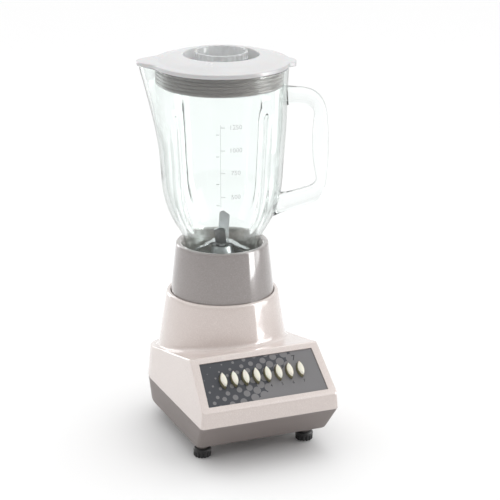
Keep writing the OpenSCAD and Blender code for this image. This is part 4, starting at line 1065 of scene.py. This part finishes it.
def make_tray():
    """Grey tray: leaning walls, rounded lower edge, air slots and stubs for the feet."""
    top = outline(HALF_W - REVEAL, FRONT - REVEAL, BACK - REVEAL, CORNER_FRONT, CORNER_BACK)
    low = outline(HALF_W - TRAY_SIDE, FRONT - TRAY_FRONT, BACK - TRAY_SIDE, CORNER_FRONT + 2, CORNER_BACK - TRAY_SIDE)
    z_top = PART_Z - 0.12

    def at(f, inset=0.0):
        xy = low + (top - low) * f
        length = np.linalg.norm(xy, axis=1)[:, None]
        xy = xy * (1 - inset / length)
        return np.column_stack([xy, np.full(len(xy), TRAY_Z + (z_top - TRAY_Z) * f)])

    def level(f, z):
        return np.column_stack([low * f, np.full(len(low), z)])

    edge = 2.4
    corner, wall_start = at(0.0), at(edge / (z_top - TRAY_Z))
    floor_start = np.column_stack([low * (1 - edge / np.linalg.norm(low, axis=1)[:, None]), np.full(len(low), TRAY_Z)])
    rows = [level(f, TRAY_Z) for f in (0.3, 0.6)]
    rows += [(1 - t) ** 2 * floor_start + 2 * t * (1 - t) * corner + t * t * wall_start for t in np.linspace(0, 1, 6)]
    rows += [at(f) for f in (0.4, 0.7, 0.985)]
    rows += [at(1.0, 0.4), at(1.0, WALL)]
    rows += [at(f, WALL) for f in (0.7, 0.4, 0.12)]
    rows += [np.column_stack([at(0.1, WALL + 1)[:, :2], np.full(len(low), TRAY_Z + WALL)])]
    rows += [level(f, TRAY_Z + WALL) for f in (0.6, 0.3)]
    tray = piece("tray_shell", None, "grey_satin", *grid(rows, cap_first=True, cap_last=True))
    for x, y in FEET.values():
        stub = eased([(0.01, FOOT_H - 0.6), (STUB_R - 0.6, FOOT_H - 0.6, 0.3), (STUB_R, TRAY_Z - 1.5, 0.5),
                      (STUB_R + 1.6, TRAY_Z + 0.1, 0.8), (STUB_R + 1.6, TRAY_Z + 1.5), (0.01, TRAY_Z + 1.5)])
        rows = [r + np.array([x, y, 0]) for r in lathe(stub, 48)]
        combine(tray, piece("stub", None, "grey_satin", *grid(rows, cap_first=True, cap_last=True)), "UNION")
    for i in range(7):
        y = (i - 3) * 8.0
        slot = eased([(-24, y - 1.6, 1.5), (24, y - 1.6, 1.5), (24, y + 1.6, 1.5), (-24, y + 1.6, 1.5)], closed=True)
        combine(tray, piece("slot", None, "grey_satin", *prism(slot, TRAY_Z - 2, TRAY_Z + WALL + 2)), "DIFFERENCE")
    bore = [np.column_stack([r[:, 0], r[:, 2], r[:, 1]]) + np.array([0, 0, GLAND_Z])
            for r in lathe([(GLAND_R, BACK - 20), (GLAND_R, BACK + 20)], 48)]
    combine(tray, piece("bore", None, "grey_satin", *grid(bore, cap_first=True, cap_last=True)), "DIFFERENCE")
    tidy_mesh(tray, 32)
    stands_for(tray, "base", "bottom_tray")


def make_feet():
    """Rubber feet with moulded lobes and a sunk screw hole."""
    lobes = 14
    profile = eased([(4.0, 0.0), (FOOT_R - 1.0, 0.0, 0.8), (FOOT_R, 1.6, 0.9), (FOOT_R, FOOT_H * 0.5),
                     (FOOT_R, FOOT_H * 0.62), (FOOT_R, FOOT_H * 0.7), (FOOT_R, FOOT_H - 1.4, 1.0),
                     (FOOT_R - 1.6, FOOT_H, 0.8), (2.2, FOOT_H, 0.3), (2.2, 4.2, 0.3), (4.0, 4.2, 0.3)],
                    closed=True, steps=4)

    def lobed(angle, r, z):
        fade = min(1.0, max(0.0, (r - 5.0) / 3.0)) * float(smooth_step((FOOT_H * 0.68 - z) / 1.6))
        return r - 1.5 * fade * (0.5 + 0.5 * math.cos(lobes * angle)) ** 1.2

    for name, (x, y) in FEET.items():
        rows = [r + np.array([x, y, 0]) for r in lathe(profile, 8 * lobes, lobed)]
        foot = piece(f"rubber_{name}", None, "black_rubber", *grid(rows, wrap_rows=True), sharp=45)
        stands_for(foot, "base", name)


# ------------------------------------------------------------------ jar


OUTER_WALL = smooth_line([
    (66.4, RIM_Z), (65.7, RIM_Z - 12), (65.0, RIM_Z - 32), (64.0, RIM_Z - 60), (62.7, RIM_Z - 80), (61.5, RIM_Z - 96),
    (60.4, RIM_Z - 114), (59.1, RIM_Z - 126), (56.8, RIM_Z - 137), (53.0, RIM_Z - 148), (49.4, RIM_Z - 156),
    (45.4, RIM_Z - 163), (41.9, RIM_Z - 169), (39.0, RIM_Z - 175), (37.6, RIM_Z - 181), (37.4, RIM_Z - 188),
    (37.4, NECK_FOOT_Z + 1.0)], 4)
SPOUT_REACH = [(RIM_Z, 14.2), (RIM_Z - 6, 13.8), (RIM_Z - 20, 10.6), (RIM_Z - 35, 7.4), (RIM_Z - 48, 4.6),
               (RIM_Z - 61, 2.4), (RIM_Z - 74, 0.8), (RIM_Z - 84, 0.0)]
FLUTE_TOP, FLUTE_END = RIM_Z - 46, RIM_Z - 168
FLUTE_HALF, FLUTE_DEEP = 7.2, 2.2


def spout_at(z):
    heights, reaches = zip(*reversed(SPOUT_REACH))
    return float(np.interp(z, heights, reaches))


def smooth_step(x):
    x = np.clip(x, 0, 1)
    return x * x * (3 - 2 * x)


def jar_wave(inner):
    """Radius of the glass at an angle: the spout swells it, and the four flutes press it in."""
    def wave(angle, r, z):
        from_spout = abs((angle % (2 * math.pi)) - math.pi)
        out = r + spout_at(z) * math.exp(-(from_spout / math.radians(12.5)) ** 2)
        nearest = (angle - math.pi / 4) % (math.pi / 2)
        nearest = min(nearest, math.pi / 2 - nearest)
        side = nearest * r
        up = max(0.0, z - FLUTE_TOP)
        half = FLUTE_HALF + (2.6 if inner else 0.0)
        away = math.hypot(side, up) / half
        if away < 1 and z > FLUTE_END:
            fade = float(smooth_step((z - FLUTE_END) / 22))
            out -= FLUTE_DEEP * (0.7 if inner else 1.0) * (math.cos(away * math.pi / 2) ** 1.7) * fade
        return out
    return wave


def offset_wall(line, by):
    """The line moved inwards along its normals."""
    step = np.gradient(line, axis=0)
    normal = np.column_stack([step[:, 1], -step[:, 0]])
    normal /= np.linalg.norm(normal, axis=1)[:, None]
    return line + normal * by


def make_glass():
    """Pressed glass: wall, spout, flutes, rounded rim and neck in one net, and the handle fused on."""
    columns = 288
    outer = [p for p in OUTER_WALL if p[1] < RIM_Z - 1.5]
    inner = offset_wall(OUTER_WALL, GLASS_WALL)
    inner = [p for p in inner if p[1] < RIM_Z - 1.5]
    inner = [p for p in inner if p[0] > 30]
    rim = eased([(66.3, RIM_Z - 1.6), (66.4, RIM_Z, 1.5), (62.4, RIM_Z, 1.5), (62.3, RIM_Z - 1.6)], steps=6)
    foot = eased([(37.4, NECK_FOOT_Z + 1), (37.4, NECK_FOOT_Z, 0.8), (33.4, NECK_FOOT_Z, 0.8), (33.4, NECK_FOOT_Z + 1)])
    rows = lathe(rim[:len(rim) // 2], columns, jar_wave(False))[::1]
    rows += lathe(rim[len(rim) // 2:], columns, jar_wave(True))
    rows += lathe(inner, columns, jar_wave(True))
    rows += lathe(foot[::-1], columns)
    rows += lathe(outer[::-1], columns, jar_wave(False))
    glass = piece("glass_body", None, "jar_glass", *grid(rows, wrap_rows=True), turn=JAR_TURN, sharp=60)
    combine(glass, make_handle(), "UNION")
    tidy_mesh(glass, 55)
    stands_for(glass, "jar", "glass_jar")


HANDLE_OUT = [(60, 349.6), (70, 350.0), (79, 349.8), (88, 347.8), (94.6, 343.8), (99.6, 337.8), (103.0, 329.5),
              (104.8, 316), (105.6, 297), (105.6, 277), (104.6, 261), (102.6, 248.5), (99.6, 240.4), (94, 234.4),
              (84, 230.4), (72, 226.6), (61, 223.0), (50.4, 219.8)]
HANDLE_IN = [(61, 333.2), (68, 333.0), (76, 332.7), (83, 332.0), (87.6, 330.4), (90.2, 327.2), (90.9, 321.5),
             (90.0, 311), (89.2, 295), (89.9, 279), (91.8, 266), (93.2, 258.6), (92.4, 253.4), (88.4, 249.6),
             (81, 247.0), (73, 244.6), (65, 242.2), (56.6, 239.6)]
HANDLE_HALF = 9.0


def make_handle():
    """The handle's D as a rounded bar between its outer and its inner line, flared where it meets the wall."""
    outer, inner = smooth_line(HANDLE_OUT, 5), smooth_line(HANDLE_IN, 5)
    n = len(outer)
    rows = []
    around = np.linspace(0, 2 * math.pi, 40, endpoint=False)
    for i, (a, b) in enumerate(zip(outer, inner)):
        middle, half = (a + b) / 2, (a - b) / 2
        end = min(i, n - 1 - i) / 9.0
        flare = 1 + 0.22 * max(0.0, 1 - end) ** 2
        c, s = np.cos(around), np.sin(around)
        power = 2 / 2.9
        cu, sv = np.sign(c) * np.abs(c) ** power, np.sign(s) * np.abs(s) ** power
        u = middle[0] + half[0] * cu * flare
        z = middle[1] + half[1] * cu * flare
        rows.append(np.column_stack([u, HANDLE_HALF * flare * sv, z]))
    return piece("handle", None, "jar_glass", *grid(rows, cap_first=True, cap_last=True), turn=JAR_TURN, sharp=60)


def wall_radius(z):
    heights = OUTER_WALL[::-1, 1]
    return float(np.interp(z, heights, OUTER_WALL[::-1, 0]))


def wrap_on_jar(obj, angle, z, lift=0.1):
    """Bends a flat mark round the glass, at an angle from the handle and a height."""
    for v in obj.data.vertices:
        x, y, depth = v.co.x / MM, v.co.y / MM, v.co.z / MM
        r = wall_radius(z + y) + lift + depth
        a = JAR_TURN + angle + x / wall_radius(z)
        v.co = Vector(((AXIS[0] + r * math.cos(a)) * MM, (AXIS[1] + r * math.sin(a)) * MM, (z + y) * MM))


def bar_mark(name, width, height, depth, finish):
    """Thin raised bar, flat, in metres, in steps short enough to bend round the jar and down its wall."""
    ends = (width / 2, height / 2)
    rows = []
    if width > height:
        for x in np.linspace(-ends[0], ends[0], max(2, int(width / 1.5) + 1)):
            rows.append([(x, -ends[1], -depth / 2), (x, ends[1], -depth / 2), (x, ends[1], depth / 2),
                         (x, -ends[1], depth / 2)])
    else:
        for y in np.linspace(-ends[1], ends[1], max(2, int(height / 1.5) + 1)):
            rows.append([(-ends[0], y, -depth / 2), (ends[0], y, -depth / 2), (ends[0], y, depth / 2),
                         (-ends[0], y, depth / 2)])
    verts, faces = grid(rows, cap_first=True, cap_last=True)
    mesh = bpy.data.meshes.new(name)
    mesh.from_pydata((verts * MM).tolist(), [], faces)
    mesh.materials.append(FINISHES[finish])
    obj = bpy.data.objects.new(name, mesh)
    bpy.context.scene.collection.objects.link(obj)
    return obj


def make_graduations():
    """Scale on the side of the glass that faces the front: ticks, and numbers of millilitres."""
    facing = -math.pi / 2
    marks = [(1250, 325.0), (1000, 302.0), (750, 279.0), (500, 254.5)]
    parts = []
    for value, z in marks:
        number = digits(f"scale_{value}", str(value), 6.4, 0.3, "frosted_mark")
        wrap_on_jar(number, facing + 14.5 / wall_radius(z), z)
        parts.append(number)
        tick = bar_mark(f"tick_{value}", 4.2, 0.8, 0.3, "frosted_mark")
        wrap_on_jar(tick, facing + 2.1 / wall_radius(z), z)
        parts.append(tick)
    for k, z in enumerate((318.0, 296.0, 268.0, 246.0)):
        tick = bar_mark(f"side_tick_{k + 1}", 3.4, 0.8, 0.3, "frosted_mark")
        wrap_on_jar(tick, facing - 3.0 / wall_radius(z), z)
        parts.append(tick)
    line = bar_mark("scale_line", 0.5, 84, 0.25, "frosted_mark")
    wrap_on_jar(line, facing - 0.3 / wall_radius(286), 286)
    parts.append(line)
    for part in parts:
        tidy_mesh(part, 30)
        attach(part, "jar")


def make_collar():
    """Glossy jar base: leaning skirt with a rolled rim, threaded sleeve and the ring that holds the blade unit."""
    profile = eased([
        (COLLAR_FOOT_R, COLLAR_FOOT_Z, 0.8), (COLLAR_FOOT_R, CONE_TOP_Z - 1, 3.0), (COLLAR_TOP_R, COLLAR_TOP_Z, 2.6),
        (COLLAR_MOUTH_R, COLLAR_TOP_Z, 2.2), (SLEEVE_R + 0.4, COLLAR_TOP_Z - 8, 1.5),
        (SLEEVE_R, SEAT_RING_Z + 3.6, 0.4), (RING_BORE_R, SEAT_RING_Z + 3.6, 0.5), (RING_BORE_R, SEAT_RING_Z, 0.5),
        (SLEEVE_R, SEAT_RING_Z, 0.8), (SLEEVE_R, SEAT_Z + 3, 0.5), (SLEEVE_R + 2.8, SEAT_Z + 3, 0.5),
        (SLEEVE_R + 2.8, COLLAR_TOP_Z - 8.5, 1.0), (COLLAR_TOP_R - 3.4, COLLAR_TOP_Z - 8.5, 1.0),
        (COLLAR_FOOT_R - 2.8, CONE_TOP_Z, 1.0), (COLLAR_FOOT_R - 2.8, COLLAR_FOOT_Z, 0.6)], closed=True, steps=7)
    collar = piece("collar", None, "grey_gloss", *grid(lathe(profile, 160), wrap_rows=True), turn=JAR_TURN, sharp=40)
    for i in range(4):
        web = prism([(RING_BORE_R + 2, -1.2), (COLLAR_FOOT_R - 2.2, -1.2), (COLLAR_FOOT_R - 2.2, 1.2),
                     (RING_BORE_R + 2, 1.2)], SEAT_Z + 3, SEAT_RING_Z + 1, 0.2)
        combine(collar, piece("web", None, "grey_gloss", *web, turn=JAR_TURN + math.radians(45 + 90 * i)), "UNION")
    tidy_mesh(collar, 40)
    stands_for(collar, "jar", "jar_base")


# ------------------------------------------------------------------ lid and cap


def lid_wave(angle, r, z):
    """The lid's edge runs out into a nose over the spout and a tab at the handle."""
    if r < LID_R - 6:
        return r
    share = (r - (LID_R - 6)) / 6
    nose = abs((angle % (2 * math.pi)) - math.pi)
    tab = abs(((angle + math.pi) % (2 * math.pi)) - math.pi)
    grow = LID_NOSE * math.exp(-(nose / math.radians(13.0)) ** 2.6)
    grow += LID_TAB * math.exp(-(tab / math.radians(9.5)) ** 8)
    return r + grow * share


def make_lid():
    """Milky lid: thin edge, low dome, finger well, filler hole and the skirt that carries the seal."""
    profile = eased([
        (LID_R, LID_Z, 0.8), (LID_R, LID_Z + 4.2, 1.4), (LID_R - 6.2, LID_Z + 5.4, 1.0), (52, LID_TOP_Z - 2.2, 6),
        (FINGER_WELL_R, LID_TOP_Z, 1.6), (FINGER_WELL_R - 2.4, FINGER_WELL_Z, 1.6), (FILLER_R + 0.4, FINGER_WELL_Z, 0.5),
        (FILLER_R + 0.4, FINGER_WELL_Z - 2, 0.5), (FINGER_WELL_R + 1, FINGER_WELL_Z - 2, 1.5),
        (FINGER_WELL_R + 1.4, LID_Z + 1.6, 1.0), (SKIRT_R - 2, LID_Z + 1.6, 1.0), (SKIRT_R - 2, SEAL_FOOT_Z - 1, 0.6),
        (SKIRT_R, SEAL_FOOT_Z - 1, 0.6), (SKIRT_R, LID_Z, 0.4), (LID_R - 6.1, LID_Z, 0.2)], closed=True, steps=6)
    lid = piece("lid_shell", None, "lid_clear", *grid(lathe(profile, 240, lid_wave), wrap_rows=True),
                turn=JAR_TURN, sharp=42)
    stands_for(lid, "lid_unit", "lid")


def make_seal():
    """Soft seal: a band with five rounded rings that press on the glass."""
    rings, height = 5, 17.6
    profile = [(SKIRT_R + 0.02, SEAL_FOOT_Z), (SEAL_ROOT_R - 0.3, SEAL_FOOT_Z)]
    for k in range(rings):
        z = SEAL_FOOT_Z + (k + 0.5) * height / rings
        for a in np.linspace(-80, 80, 9):
            a = math.radians(a)
            profile.append((SEAL_ROOT_R - 0.5 + (SEAL_TIP_R - SEAL_ROOT_R + 0.5) * math.cos(a), z + 1.5 * math.sin(a)))
    profile += [(SEAL_ROOT_R - 0.3, SEAL_FOOT_Z + height), (SKIRT_R + 0.02, SEAL_FOOT_Z + height)]
    seal = piece("seal_band", None, "seal_grey", *grid(lathe(profile, 160), wrap_rows=True), turn=JAR_TURN, sharp=50)
    stands_for(seal, "lid_unit", "lid_seal")


def make_cap():
    """Clear filler cap: an open cup with ribs to grip, and a plug that drops into the filler hole."""
    ribs = 22
    shelf = FINGER_WELL_Z + 0.4
    profile = eased([
        (CAP_R - 0.8, shelf, 0.5), (CAP_R, shelf + 1.0, 0.5), (CAP_R, CAP_TOP_Z, 0.8), (CAP_R - 2.4, CAP_TOP_Z, 0.8),
        (CAP_R - 3.6, shelf + 1.0, 1.5), (FILLER_R - 2.0, CAP_FOOT_Z + 2, 1.5), (0.6, CAP_FOOT_Z + 2),
        (0.6, CAP_FOOT_Z), (FILLER_R, CAP_FOOT_Z, 1.0), (FILLER_R, shelf, 0.3)], closed=True, steps=5)

    def ribbed(angle, r, z):
        if r < CAP_R - 3.0 or z < shelf + 0.5:
            return r
        fade = min(1.0, (CAP_TOP_Z + 0.6 - z) / 2.0)
        return r - 0.9 * fade * (0.5 + 0.5 * math.cos(ribs * angle)) ** 0.7

    rows = lathe(profile, 8 * ribs, ribbed)
    cap = piece("cap_cup", None, "cap_clear", *grid(rows, wrap_rows=True), turn=JAR_TURN, sharp=50)
    plug = lathe(eased([(0.01, CAP_FOOT_Z), (0.8, CAP_FOOT_Z), (0.8, CAP_FOOT_Z + 2), (0.01, CAP_FOOT_Z + 2)]), 24)
    combine(cap, piece("plug", None, "cap_clear", *grid(plug, cap_first=True, cap_last=True)), "UNION")
    tidy_mesh(cap, 50)
    stands_for(cap, "cap", "filler_cap")


# ------------------------------------------------------------------ carried-over CAD nodes


def soften(node, width, angle=35.0):
    """Small rounded edges on a CAD node, by modifiers only."""
    obj = NODES[node]
    weld = obj.modifiers.new("weld", "WELD")
    weld.merge_threshold = 0.000005
    flat = obj.modifiers.new("flat", "DECIMATE")
    flat.decimate_type = "DISSOLVE"
    flat.angle_limit = math.radians(1.0)
    edge = obj.modifiers.new("edge", "BEVEL")
    edge.width = width * MM
    edge.segments = 2
    edge.limit_method = "ANGLE"
    edge.angle_limit = math.radians(angle)
    edge.use_clamp_overlap = True


WOUND = ("button_springs", "brush_springs", "rotor_windings", "field_coils")


def finish_cad_nodes():
    """Finishes on the pieces that stay as they were built, with a small rounded edge on all but the wire."""
    for name, obj in NODES.items():
        obj.data.materials.clear()
        obj.data.materials.append(FINISHES[SLOT_OF[name]])
        if name not in REBUILT and name not in WOUND:
            soften(name, 0.15 if name.endswith("blade") else 0.3)


add_camera()
add_floor()
add_room()
set_tones()
add_softbox("soft_left", -70, 25, 1.6, (0.7, 1.0), 1.6)
add_softbox("soft_right", 60, 35, 1.6, (0.7, 1.0), 2.2)
add_softbox("soft_top", 150, 72, 1.6, (1.1, 1.1), 2.2)
add_softbox("strip_near_right", 75, 8, 1.25, (0.36, 1.3), 16.0, only_gloss=True)
add_softbox("strip_far_right", 93, 8, 1.25, (0.34, 1.3), 6.0, only_gloss=True)
add_softbox("strip_left", -137, 8, 1.25, (0.36, 1.3), 4.5, only_gloss=True)
make_effects()
make_finishes()
make_housing()
make_panel()
make_panel_numbers()
make_buttons()
make_tray()
make_feet()
make_glass()
make_graduations()
make_collar()
make_lid()
make_seal()
make_cap()
finish_cad_nodes()
